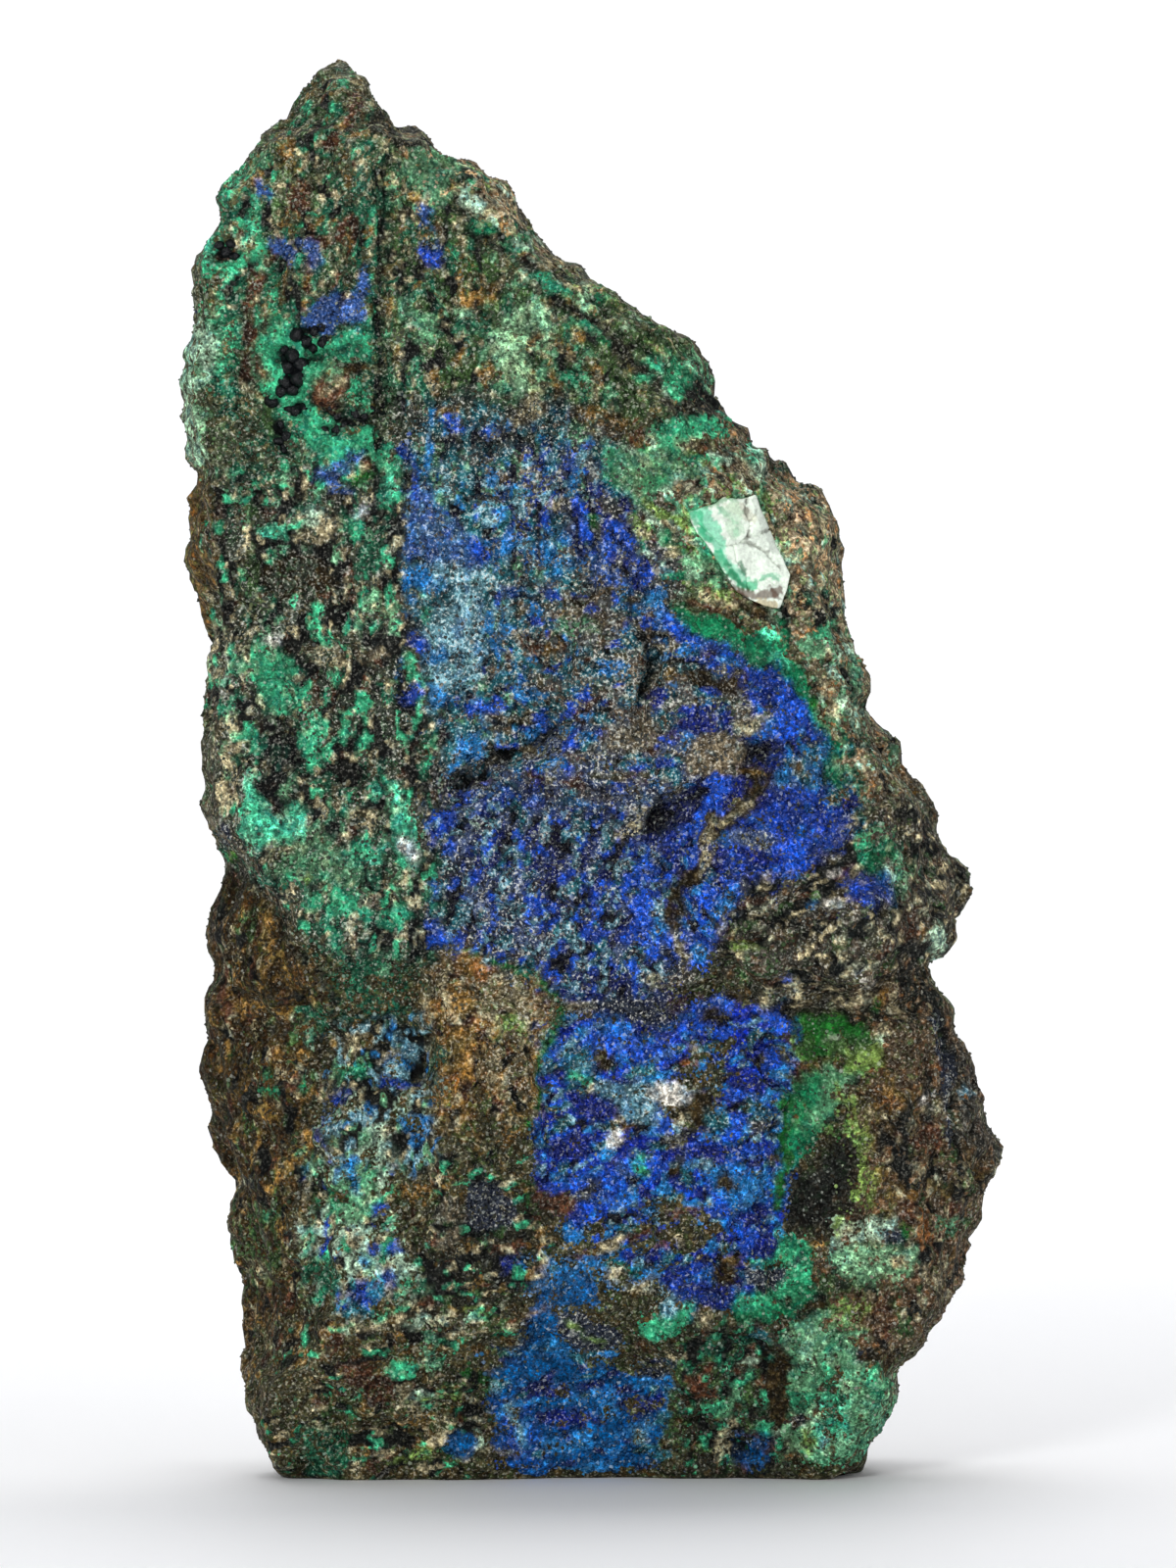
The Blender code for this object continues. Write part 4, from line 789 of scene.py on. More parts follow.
    ("malachite_deep", [(0.5, 330, 1480, 30, 26), (0.7, 790, 1450, 10, 8)]),
    ("emerald", [(0.9, 538, 244, 9, 4, 15), (0.7, 524, 268, 8, 4, 20), (0.5, 355, 1460, 5, 30)]),
    ("tan_rock", [(0.6, 465, 1230, 26, 18), (0.6, 465, 1262, 16, 10)]),
    ("night_rock", [(0.7, 228, 855, 10, 14), (0.6, 505, 1235, 22, 30), (0.8, 600, 1214, 12, 10),
        (0.8, 640, 1030, 50, 10), (0.95, 602, 1365, 26, 18), (0.7, 668, 1392, 24, 7),
        (0.9, 780, 1300, 14, 12, 20), (0.5, 880, 1388, 12, 8)]),
    ("azurite_teal", [(0.6, 445, 238, 6, 8), (0.5, 600, 690, 26, 14), (0.8, 736, 1133, 9, 8),
        (0.6, 778, 1370, 10, 8), (0.6, 855, 815, 10, 10)]),
    ("azurite_deep", [(0.8, 780, 812, 10, 5), (0.7, 770, 1100, 20, 8), (0.8, 692, 1205, 9, 10),
        (0.9, 762, 1235, 16, 10, -40), (0.85, 775, 1262, 12, 16), (0.5, 590, 1450, 24, 8),
        (0.7, 870, 822, 10, 8)]),
    ("lime", [(0.5, 745, 604, 20, 5, 5), (0.6, 308, 900, 5, 6), (0.6, 425, 1490, 18, 5, -5),
        (0.5, 480, 1340, 14, 3, -10), (0.55, 525, 1048, 12, 6, 10), (0.7, 604, 1372, 3, 6),
        (0.6, 592, 1364, 8, 4), (0.7, 763, 965, 10, 5, 20), (0.6, 880, 1330, 10, 8),
        (0.85, 858, 1252, 4, 12, 10)]),
    ("leaf", [(0.6, 367, 484, 8, 8), (0.95, 235, 880, 11, 8, 10), (0.6, 290, 1405, 5, 6),
        (0.5, 466, 1494, 10, 5), (0.6, 915, 1255, 8, 6)]),
    ("azurite_soft", [(0.8, 470, 1478, 14, 10), (0.8, 535, 1395, 12, 24, 30)]),
    ("cream", [(0.7, 260, 398, 4, 10, -25), (0.7, 560, 268, 8, 5, 20), (0.6, 510, 205, 12, 8, 30),
        (0.65, 756, 478, 12, 10), (0.6, 700, 508, 8, 4), (0.6, 735, 612, 24, 3, 5), (0.6, 852, 722, 6, 10),
        (0.5, 766, 735, 12, 12), (0.5, 535, 418, 20, 8), (0.5, 285, 862, 16, 5, 20),
        (0.6, 370, 1502, 10, 6, 30), (0.5, 520, 1020, 24, 14), (0.5, 703, 1140, 10, 6),
        (0.8, 624, 1144, 10, 8), (0.7, 695, 1262, 6, 4), (0.8, 791, 1024, 7, 9, 20),
        (0.6, 740, 1470, 4, 14, 10), (0.7, 733, 1492, 7, 6), (0.8, 766, 972, 8, 5), (0.7, 920, 1028, 8, 6),
        (0.7, 905, 1052, 6, 4), (0.5, 942, 1190, 8, 6)]),
    ("moss", [(0.85, 273, 425, 7, 22, -15), (0.6, 262, 520, 8, 10), (0.5, 255, 600, 8, 26),
        (0.5, 265, 1270, 18, 40), (0.6, 760, 1425, 8, 18), (0.5, 690, 1440, 5, 40),
        (0.6, 930, 1070, 14, 20), (0.7, 842, 1318, 12, 5, 10)]),
    ("bare", [(0.9, 930, 1070, 30, 34)]),
    ("rust", [(0.7, 376, 465, 5, 12), (0.7, 742, 478, 6, 12), (0.8, 725, 622, 18, 5, 10),
        (0.75, 770, 605, 22, 10, 20), (0.6, 385, 1408, 30, 14, 20), (0.5, 360, 1375, 20, 10),
        (0.8, 715, 1415, 8, 16), (0.6, 660, 1372, 14, 10), (0.5, 925, 935, 16, 10),
        (0.5, 800, 1325, 6, 5)]),
    # painted shade between the knobs in the vug
    ("pit_painted_shade", [(0.97, 308, 340, 8, 9), (0.97, 320, 335, 6, 6), (0.97, 288, 362, 6, 8),
        (0.97, 297, 380, 10, 22, -5), (0.95, 277, 411, 6, 7), (0.97, 302, 420, 9, 8),
        (0.97, 286, 442, 8, 15, -10), (0.85, 322, 360, 10, 6, 20)]),
    ("azurite_bright", [(0.6, 600, 705, 8, 8), (0.8, 455, 960, 12, 8), (0.7, 765, 1172, 16, 8),
        (0.8, 760, 1262, 12, 12, 20), (0.8, 800, 1040, 8, 10)]),
    ("azurite", [(0.7, 480, 962, 10, 8), (0.4, 348, 1122, 10, 7)]),
    ("brown_rock", [(0.85, 765, 622, 26, 7, 5), (0.8, 772, 790, 13, 8), (0.8, 780, 1185, 10, 5),
        (0.7, 770, 1078, 12, 6), (0.85, 795, 1420, 16, 50)]),
    ("ochre", [(0.5, 773, 788, 7, 3), (0.6, 634, 1158, 12, 5, -20), (0.6, 552, 1352, 10, 3, -10),
        (0.5, 885, 1345, 7, 6)]),
    ("rust", [(0.85, 338, 392, 20, 22), (0.7, 830, 1455, 14, 6), (0.5, 900, 1340, 14, 20)]),
    ("night_rock", [(0.85, 965, 1075, 7, 36, -10), (0.7, 905, 1262, 10, 7), (0.9, 812, 1282, 12, 4, -20),
        (0.6, 818, 1458, 6, 10)]),
    ("tan_rock", [(0.6, 735, 770, 34, 26)]),
    ("white", [(0.85, 626, 1172, 8, 10, 30), (0.5, 950, 1125, 8, 6)]),
    ("azurite_deep", [(0.85, 600, 1130, 26, 14, 20), (0.8, 585, 1172, 24, 10)]),
    ("malachite_mint", [(0.7, 253, 240, 4, 12, 15), (0.75, 214, 252, 5, 16, -10), (0.7, 396, 496, 10, 10),
        (0.9, 781, 641, 10, 6, 10), (0.8, 283, 540, 10, 8, 20), (0.8, 385, 815, 7, 6)]),
    ("malachite", [(0.9, 265, 258, 6, 14, 20), (0.8, 462, 256, 4, 8), (0.9, 291, 457, 4, 4),
        (0.75, 655, 392, 8, 5, 20), (0.85, 316, 752, 12, 9, 20), (0.8, 322, 775, 9, 8),
        (0.85, 322, 922, 9, 12, 20), (0.7, 340, 940, 6, 6), (0.97, 413, 1393, 13, 6, -20),
        (0.6, 885, 868, 8, 12)]),
    ("leaf", [(0.6, 474, 278, 5, 7)]),
    ("azurite_violet", [(0.85, 288, 258, 9, 17, -20), (0.8, 314, 262, 8, 12, -30),
        (0.8, 642, 1196, 12, 6, 20)]),
    ("black_rock_and_painted_shade", [(0.9, 720, 405, 30, 12, 40), (0.9, 803, 628, 8, 24, 10)]),
    ("emerald", [(0.9, 798, 633, 4, 10)]),
    ("sage", [(0.8, 336, 382, 12, 10), (0.8, 830, 655, 14, 14), (0.35, 585, 650, 30, 10),
        (0.6, 590, 445, 10, 12), (0.6, 300, 800, 6, 12), (0.7, 438, 1365, 4, 8), (0.6, 440, 1388, 8, 8)]),
    ("black_rock_and_painted_shade", [(0.7, 845, 625, 12, 10)]),
    ("ochre", [(0.6, 868, 650, 5, 12, -20)]),
    ("pale_mint", [(0.95, 732, 473, 9, 7), (0.92, 768, 472, 8, 14, -30), (0.7, 860, 665, 5, 12, -10),
        (0.7, 318, 530, 8, 16), (0.9, 361, 1361, 6, 4), (0.9, 434, 1423, 9, 8),
        (0.75, 486, 1470, 8, 9, -20), (0.7, 760, 1395, 6, 5)]),
    ("malachite_mint", [(0.8, 760, 462, 8, 5, 20), (0.85, 788, 672, 10, 5, 30)]),
    ("lime", [(0.7, 234, 876, 6, 3, 10), (0.7, 434, 1426, 5, 5), (0.6, 455, 1425, 6, 6),
        (0.6, 490, 978, 5, 3), (0.5, 830, 1475, 6, 10)]),
    ("orange", [(0.8, 678, 1270, 4, 3), (0.7, 957, 1095, 4, 5), (0.5, 815, 1495, 12, 4)]),
    ("sage", [(0.8, 776, 492, 4, 12), (0.6, 880, 690, 5, 16, -10)]),
    ("cream", [(0.6, 338, 398, 11, 7), (0.55, 840, 700, 6, 12, -30), (0.6, 325, 540, 20, 12),
        (0.5, 250, 648, 8, 20, 20), (0.5, 264, 1296, 6, 6), (0.6, 418, 1418, 5, 7), (0.5, 415, 1435, 8, 8),
        (0.6, 500, 1477, 16, 4, -5), (0.5, 395, 1350, 30, 8, -10), (0.6, 695, 1378, 9, 6, 30),
        (0.8, 815, 1010, 6, 10, -20), (0.6, 890, 950, 6, 3, -20)]),
    ("azurite_pale", [(0.6, 372, 1138, 12, 7), (0.5, 526, 1455, 5, 14), (0.4, 652, 1460, 10, 12),
        (0.5, 848, 1476, 5, 8)]),
    ("azurite_teal", [(0.7, 365, 1340, 14, 8, 20), (0.7, 705, 1195, 8, 8)]),
    ("pale_mint", [(0.6, 385, 1160, 8, 10), (0.5, 380, 1180, 16, 10)]),
    ("azurite_bright", [(0.7, 608, 630, 8, 6), (0.6, 805, 1003, 4, 6)]),
    ("moss", [(0.5, 258, 570, 8, 14), (0.45, 775, 990, 30, 16)]),
    ("malachite", [(0.9, 733, 476, 4, 3), (0.7, 710, 470, 10, 6), (0.6, 268, 632, 5, 14),
        (0.5, 395, 1340, 10, 8)]),
    # painted shade in the small hollow under the upper knobs, and in a pit
    ("pit_painted_shade", [(0.9, 231, 256, 10, 8), (0.6, 270, 625, 8, 9)]),
    ("brown_rock", [(0.9, 366, 378, 17, 12), (0.5, 300, 590, 34, 22)]),
    ("malachite", [(0.7, 366, 402, 10, 8)]),
]

# veins, seams and edges: (mineral, share, half width, path on the sheet)
VEINS = [
    # painted shade down the crease and round the vug's boss
    ("pit_painted_shade", 0.75, 3.5, [(398, 160), (395, 205), (396, 270)]),
    ("pit_painted_shade", 0.5, 6.0, [(396, 270), (388, 330), (388, 450)]),
    ("pit_painted_shade", 0.9, 3.0, [(330, 362), (345, 356), (360, 352)]),
    ("pit_painted_shade", 0.85, 6.0, [(332, 414), (350, 424), (375, 418)]),
    ("azurite", 0.85, 3.5, [(414, 450), (424, 480), (432, 510)]),
    ("malachite", 0.85, 2.5, [(308, 402), (322, 420), (334, 432)]),
    ("malachite", 0.8, 2.5, [(316, 392), (322, 376), (336, 366), (352, 362)]),
    ("emerald", 0.7, 4.0, [(606, 300), (612, 330), (618, 345)]),
    ("dark_earth_and_painted_shade", 0.8, 8.0, [(385, 118), (430, 142), (460, 152)]),
    ("dark_earth_and_painted_shade", 0.7, 6.0, [(470, 205), (500, 250), (560, 285)]),
    ("dark_earth_and_painted_shade", 0.75, 7.0, [(560, 310), (600, 318), (620, 330), (640, 370), (670, 400)]),
    ("dark_earth_and_painted_shade", 0.8, 8.0, [(690, 412), (740, 420), (770, 450), (810, 485)]),
    # painted shade in the cracks and the gash
    ("pit_painted_shade", 0.97, 3.8, [(668, 665), (663, 690), (655, 715), (650, 750)]),
    ("pit_painted_shade", 0.9, 5.0, [(563, 735), (540, 762), (505, 780), (468, 802)]),
    ("pit_painted_shade", 0.7, 1.8, [(660, 590), (656, 620), (655, 642)]),
    # the blue crevice: a deep blue band, with painted shade in its black core
    ("azurite_night", 0.90, 9.0, [(788, 757), (762, 774), (738, 790), (706, 812), (676, 834), (660, 850)]),
    ("azurite_painted_shade", 0.95, 4.5, [(762, 774), (738, 790), (706, 812), (690, 828)]),
    ("azurite_painted_shade", 0.95, 12.0, [(684, 826), (668, 838)]),
    ("azurite_painted_shade", 0.95, 12.0, [(760, 768), (778, 764)]),
    ("azurite_deep", 0.85, 4.0, [(790, 778), (748, 802), (712, 828)]),
    ("azurite_bright", 0.85, 4.5, [(655, 862), (650, 900), (660, 940), (668, 975)]),
    # painted shadow under the shoulder, and painted shade in a small crack
    ("pit_painted_shade", 0.75, 6.0, [(846, 1026), (880, 1034), (930, 1030), (945, 1005)]),
    ("pit_painted_shade", 0.8, 2.0, [(741, 588), (745, 605)]),
    ("brown_rock", 0.95, 8.0, [(772, 800), (746, 830), (716, 860), (702, 886), (694, 912), (690, 938)]),
    ("cream", 0.5, 3.0, [(760, 815), (735, 840), (716, 862), (706, 885)]),
    ("pale_earth", 0.75, 5.0, [(696, 950), (698, 1000)]),
    ("azurite_bright", 0.85, 5.0, [(742, 795), (728, 815), (714, 832), (698, 848)]),
    ("malachite_mint", 0.8, 2.5, [(360, 868), (385, 872), (405, 856), (416, 860)]),
    ("leaf", 0.7, 3.5, [(505, 985), (522, 990), (548, 1002), (572, 1020)]),
    ("leaf", 0.8, 4.5, [(575, 1032), (562, 1050), (550, 1066), (545, 1088), (546, 1110), (540, 1128)]),
    ("sage", 0.6, 2.5, [(566, 1034), (556, 1052), (543, 1070)]),
    # painted shade in the crack of the ochre patch
    ("pit_painted_shade", 0.7, 3.0, [(497, 1058), (490, 1085), (488, 1110)]),
    ("pit_painted_shade", 0.5, 2.5, [(487, 1110), (478, 1140), (505, 1180), (503, 1270)]),
    ("azurite_bright", 0.8, 4.0, [(726, 1200), (734, 1225), (744, 1250), (756, 1262)]),
    ("azurite_bright", 0.75, 4.0, [(700, 1178), (730, 1160), (770, 1160)]),
    ("leaf", 0.9, 5.0, [(800, 1120), (797, 1160), (792, 1200), (786, 1228)]),
    ("lime", 0.85, 2.5, [(868, 1158), (873, 1190), (868, 1226)]),
    ("lime", 0.6, 3.0, [(848, 1115), (870, 1130), (876, 1160)]),
    ("night_rock", 0.8, 4.0, [(958, 1045), (968, 1100), (978, 1165)]),
    # a dark line of painted shadow under the shoulder
    ("dark_earth_and_painted_shade", 0.6, 5.0, [(740, 985), (800, 1030), (870, 1028), (930, 1035), (945, 990)]),
    ("gold_rock", 0.8, 4.0, [(208, 560), (212, 640), (208, 700), (200, 728)]),
    ("azurite_violet", 0.6, 3.0, [(498, 578), (512, 560), (530, 548)]),
    ("dark_earth_and_painted_shade", 0.6, 4.0, [(250, 888), (276, 925), (302, 970), (343, 1008), (346, 1060)]),
]

GROUND_BLEND, OUTLINE_BLEND, SPOT_BLEND = 36.0, 12.0, 7.0
# a thin crust fades at its edge: how much wider its blend is where it covers nothing
THIN_BLEND = 4.0
# full patches whose box is smaller than this many square tenths stand clear of the flecks
FULL_SHARE, SMALL_PATCH, PATCH_CLEAR = 0.7, 16000.0, 0.65
# crust edges wander: (reach in tenths, size of the waves in metres)
WANDER = [(16.0, 0.0062), (9.0, 0.0026), (6.0, 0.0011), (4.0, 0.0006)]
CRUST_WAVE = 0.0009
# patches on the sides and back, where nothing is outlined: (rock, wave size, least noise),
# and (crust, share, wave size, least noise)
ASIDE_ROCKS = [("side_rock", 0.013, 0.05), ("dark_earth_and_painted_shade", 0.009, 0.10), ("olive_rock", 0.015, 0.16),
               ("pale_earth", 0.006, 0.30)]
ASIDE_CRUSTS = [("malachite_deep", 0.50, 0.011, 0.26), ("malachite", 0.65, 0.006, 0.38),
                ("azurite_deep", 0.55, 0.010, 0.30), ("azurite", 0.60, 0.005, 0.42),
                ("rust", 0.50, 0.008, 0.24), ("ochre", 0.35, 0.004, 0.34)]
ASIDE_ROCK_EDGE, ASIDE_CRUST_EDGE = 0.12, 0.08
# the crusts swell out by these shares of their thickness: evenly, and in waves
SWELL, SWELL_WAVES = 0.7, 0.8
SWELL_START, SWELL_SPAN = 0.0004, 0.0012
# a face counts as the front from this slope on, in full this much later
FRONT_START, FRONTAL_START, FACE_SPAN = 0.10, 0.30, 0.30

# the rock's layers show as streaks: (their slope in degrees, strength, outline on the sheet)
FOLDS = [
    (90.0, 2.2, [(180, 100), (420, 130), (440, 1000), (200, 1000)]),
    (-38.0, 2.4, [(430, 120), (900, 500), (800, 640), (640, 620), (500, 420), (400, 400)]),
    (-64.0, 1.6, [(700, 640), (900, 640), (1000, 900), (900, 850), (820, 720)]),
    (75.0, 1.8, [(210, 900), (330, 960), (340, 1480), (240, 1480)]),
    (86.0, 1.6, [(420, 400), (600, 420), (560, 740), (430, 800)]),
    (-52.0, 3.5, [(805, 1175), (860, 1155), (872, 1200), (850, 1260), (800, 1250)]),
]
FOLD_SIZE, FOLD_STRETCH, FOLD_BLEND = 0.0010, 6.0, 60.0
RELIEF_SPAN, RELIEF_LIMIT = 0.0008, 2.0
# a crust counts as blue or green where that leads the other colours so many times over,
# and as pale where its three colours together pass a sum
BLUE_LEAD, GREEN_LEAD, PALE_SUM = 1.25, 1.2, 1.0


class Coat:
    """What is laid over vertices: colour, thickness, painted glint, and how much of each is covered."""

    def __init__(self, count):
        self.cover = np.zeros(count)
        self.colour = np.zeros((count, 3))
        self.thickness = np.zeros(count)
        self.glint = np.zeros(count)

    def lay(self, mineral, share, near, weight):
        """Lay a mineral over some vertices, hiding what they had by the new one's weight."""
        if mineral == "bare":
            weight, share, mineral = weight * share, 0.0, "earth_rock"
        colour, thickness, glint = MINERALS[mineral]
        kept, added = 1.0 - weight, weight * share
        self.cover[near] = self.cover[near] * kept + added
        self.thickness[near] = self.thickness[near] * kept + added * thickness
        self.glint[near] = self.glint[near] * kept + added * glint
        self.colour[near] = self.colour[near] * kept[:, None] + added[:, None] * np.array(colour)

    def settled(self, values):
        """Values as they are where the coat lies, without the share that is left bare."""
        cover = np.maximum(self.cover, 1.0e-4)
        return values / (cover[:, None] if values.ndim == 2 else cover)


def waves(points, size):
    """Smooth noise at every point, about one size from crest to crest."""
    return np.array([noise.noise((Vector(point) + SHIFT) / size) for point in points])


def along_layers(points, degrees, stretch):
    """Points in a frame of layers that slope by some degrees, squeezed along the layers."""
    turn = math.radians(degrees)
    along = points[:, 0] * math.cos(turn) + points[:, 2] * math.sin(turn)
    across = points[:, 2] * math.cos(turn) - points[:, 0] * math.sin(turn)
    return np.column_stack([along / stretch, points[:, 1], across])


def outline_depth(right, down, outline):
    """How deep every place lies inside an outline, below zero outside it."""
    within = np.zeros(len(right), bool)
    closed = outline + outline[:1]
    for (ax, ay), (bx, by) in zip(closed[:-1], closed[1:]):
        if ay != by:
            meets = ax + (down - ay) * (bx - ax) / (by - ay)
            within ^= ((ay > down) != (by > down)) & (right < meets)
    gap = gap_to_path(right, down, closed)
    return np.where(within, gap, -gap)


def inside(outline, blend):
    """Vertices round an outline, and a weight that eases from 0 to 1 over its border."""
    near = around(outline, blend)
    depth = outline_depth(right[near], down[near], outline)
    return near, ease(0.5 + depth / blend)


def around(path, margin):
    """Indices of the vertices whose place is in a path's box, with a margin."""
    across, deep = zip(*path)
    wide = (right > min(across) - margin) & (right < max(across) + margin)
    return np.nonzero(wide & (down > min(deep) - margin) & (down < max(deep) + margin))[0]


places = mesh_numbers(rock_mesh, "co")
normals = mesh_numbers(rock_mesh, "normal")
right, down = on_sheet(places)
for reach, size in WANDER:
    right = right + reach * waves(places, size)
    down = down + reach * waves(places[:, [2, 0, 1]], size)
facing = ease((-normals[:, 1] - FRONT_START) / FACE_SPAN)
behind = ease((normals[:, 1] - FRONT_START) / FACE_SPAN)

every = np.arange(len(places))
ground, crust = Coat(len(places)), Coat(len(places))
ground.lay("earth_rock", 1.0, every, np.ones(len(places)))
for rock_name, size, least in ASIDE_ROCKS:
    patches = waves(places, size)
    ground.lay(rock_name, 1.0, every, ease((patches - least) / ASIDE_ROCK_EDGE) * (1.0 - facing))
for mineral, share, size, least in ASIDE_CRUSTS:
    patches = waves(places[:, [1, 2, 0]], size)
    crust.lay(mineral, share, every, ease((patches - least) / ASIDE_CRUST_EDGE) * behind)
for rock_name, outline in GROUND:
    near, weight = inside(outline, GROUND_BLEND)
    ground.lay(rock_name, 1.0, near, weight * facing[near])
for mineral, share, outline in CRUSTS:
    near, weight = inside(outline, OUTLINE_BLEND * (1.0 + THIN_BLEND * (1.0 - share)))
    crust.lay(mineral, share, near, weight * facing[near])
for degrees, minerals, outline in FLECKS:
    near, weight = inside(outline, FLECK_BLEND)
    layered = along_layers(places[near], degrees, FLECK_STRETCH)
    for number, (mineral, share, size, least) in enumerate(minerals):
        patches = ease((waves(layered + number * FLECK_SHIFT, size * TENTH) - least) / FLECK_EDGE)
        crust.lay(mineral, share, near, weight * facing[near] * patches)
for mineral, share, outline in CRUSTS:
    across, deep = zip(*outline)
    if share >= FULL_SHARE and (max(across) - min(across)) * (max(deep) - min(deep)) < SMALL_PATCH:
        near, weight = inside(outline, OUTLINE_BLEND)
        crust.lay(mineral, share, near, PATCH_CLEAR * weight * facing[near])
for mineral, share, half_width, path in VEINS:
    near = around(path, half_width + SPOT_BLEND)
    depth = half_width - gap_to_path(right[near], down[near], path)
    crust.lay(mineral, share, near, ease(0.5 + depth / SPOT_BLEND) * facing[near])
for mineral, marks in SPOTS:
    for share, middle, low, half_wide, half_high, *turned in marks:
        near = around([(middle, low)], half_wide + half_high + SPOT_BLEND)
        turn = math.radians(turned[0] if turned else 0)
        run_x, run_y = right[near] - middle, down[near] - low
        along = (run_x * math.cos(turn) + run_y * math.sin(turn)) / half_wide
        across = (run_y * math.cos(turn) - run_x * math.sin(turn)) / half_high
        depth = (1.0 - np.hypot(along, across)) * min(half_wide, half_high)
        crust.lay(mineral, share, near, ease(0.5 + depth / SPOT_BLEND) * facing[near])

# the height of the rock's chips and lumps, with streaks along the layers added, kept for the finish, which
# paints shade where the rock is low and light where it is high
relief = np.array([rock_relief(Vector(point)) for point in places]) / RELIEF_SPAN
for degrees, share, outline in FOLDS:
    near, weight = inside(outline, FOLD_BLEND)
    layers = waves(along_layers(places[near], degrees, FOLD_STRETCH), FOLD_SIZE)
    relief[near] += share * weight * layers
above_foot = ease((places[:, 2] - SWELL_START) / SWELL_SPAN)
swell = crust.thickness * TENTH * (SWELL + SWELL_WAVES * waves(places, CRUST_WAVE)) * above_foot
set_places(rock_mesh, places + normals * swell[:, None])


def add_values(mesh, name, values):
    """Keep one number, or one colour, a vertex on a mesh."""
    if values.ndim == 1:
        mesh.attributes.new(name, "FLOAT", "POINT").data.foreach_set("value", values)
    else:
        rgba = np.column_stack([values, np.ones(len(values))])
        mesh.attributes.new(name, "FLOAT_COLOR", "POINT").data.foreach_set("color", rgba.ravel())


crust_colour = crust.settled(crust.colour)
# how densely painted glints are strewn: the rock's where it is bare, the crust's where it covers
glint = ground.glint * (1.0 - crust.cover) + crust.glint
add_values(rock_mesh, "ground_colour", ground.settled(ground.colour))
add_values(rock_mesh, "crust_colour", crust_colour)
add_values(rock_mesh, "crust_cover", crust.cover)
add_values(rock_mesh, "glint", glint)
add_values(rock_mesh, "relief", np.clip(relief, -RELIEF_LIMIT, RELIEF_LIMIT))

# where each sort of grain grows: how thickly in front, and by what share of that elsewhere
red, green, blue = crust_colour.T
is_blue = blue > BLUE_LEAD * green
is_green = (green > GREEN_LEAD * blue) & (green > GREEN_LEAD * red)
is_pale = red + green + blue > PALE_SUM
grain_cover = {
    "azurite_growth": (np.where(is_blue, crust.cover, 0.0), 0.10),
    "malachite_growth": (np.where(is_green & ~is_pale, crust.cover, 0.0), 0.10),
    "pale_growth": (np.clip(glint * 3.0 + np.where(is_pale, crust.cover, 0.0), 0.0, 1.0), 0.0),
    "rock_growth": (1.0 - crust.cover, 0.15),
}
frontal = ease((-normals[:, 1] - FRONTAL_START) / FACE_SPAN)
for name, (thickly, aside) in grain_cover.items():
    add_values(rock_mesh, name, thickly * above_foot * (aside + (1.0 - aside) * frontal))


class Wire:
    """A shader value that can be used in sums: numbers, colours and other wires join it."""

    def __init__(self, tree, socket):
        self.tree = tree
        self.socket = socket

    def node(self, kind, inputs, output=0, **settings):
        """Add a node of a kind with its settings, fill its inputs, and return one output."""
        made = self.tree.nodes.new(kind)
        for setting, value in settings.items():
            setattr(made, setting, value)
        for slot, value in inputs.items():
            if isinstance(value, Wire):
                self.tree.links.new(value.socket, made.inputs[slot])
            else:
                made.inputs[slot].default_value = value
        return Wire(self.tree, made.outputs[output])

    def out(self, name):
        """Another output of the node that this value comes from."""
        return Wire(self.tree, self.socket.node.outputs[name])

    def math(self, operation, first, second):
        return self.node("ShaderNodeMath", {0: first, 1: second}, operation=operation)

    def __add__(self, other):
        return self.math("ADD", self, other)

    def __radd__(self, other):
        return self.math("ADD", other, self)

    def __sub__(self, other):
        return self.math("SUBTRACT", self, other)

    def __rsub__(self, other):
        return self.math("SUBTRACT", other, self)

    def __mul__(self, other):
        return self.math("MULTIPLY", self, other)

    def clamp(self, least=0.0, most=1.0):
        return self.node("ShaderNodeClamp", {"Value": self, "Min": least, "Max": most})

    def mixed(self, share, colour):
        """This colour, with a share of another one mixed in."""
        return self.node("ShaderNodeMix", {0: share, 6: self, 7: colour}, 2, data_type="RGBA")

    def scaled(self, factor):
        """This colour, brighter or darker by a factor."""
        return self.node("ShaderNodeVectorMath", {0: self, "Scale": factor}, operation="SCALE")


def new_finish(name, roughness, reflection):
    """A material, its shader, and a wire that holds the piece's own coordinates."""
    finish = bpy.data.materials.new(name)
    finish.use_nodes = True
    tree = finish.node_tree
    shader = tree.nodes["Principled BSDF"]
    shader.inputs["Roughness"].default_value = roughness
    shader.inputs["Specular IOR Level"].default_value = reflection
    coordinates = tree.nodes.new("ShaderNodeTexCoord")
    return finish, shader, Wire(tree, coordinates.outputs["Object"])


def plug(shader, values):
    """Join wires to a shader's inputs."""
    for slot, wire in values.items():
        wire.tree.links.new(wire.socket, shader.inputs[slot])


def cloud(spot, scale, detail, roughness=0.6):
    """Noise of one scale, from 0 to 1."""
    inputs = {"Vector": spot, "Scale": scale, "Detail": detail, "Roughness": roughness}
    return spot.node("ShaderNodeTexNoise", inputs)


def kept(spot, name, output="Fac"):
    """A value or colour that the mesh holds."""
    return spot.node("ShaderNodeAttribute", {}, output, attribute_name=name)


# waves a metre of each noise, and of the grains' cells
BROAD_SCALE, MOTTLE_SCALE, MEDIUM_SCALE, FINE_SCALE, GRAIN_SCALE = 170.0, 620.0, 1300.0, 3300.0, 1500.0
# how far from a grain's middle its cell gets neither painted shade nor painted light
GRAIN_EDGE = 0.42
WARM_SHIFT, GREEN_SHIFT, DEEP_SHIFT = (1.34, 0.88, 0.52), (0.68, 1.22, 0.76), (0.30, 0.45, 0.60)
ROCK_ROUGHNESS, CRYSTAL_SHINE, ROCK_REFLECTION = 0.66, 0.35, 0.10
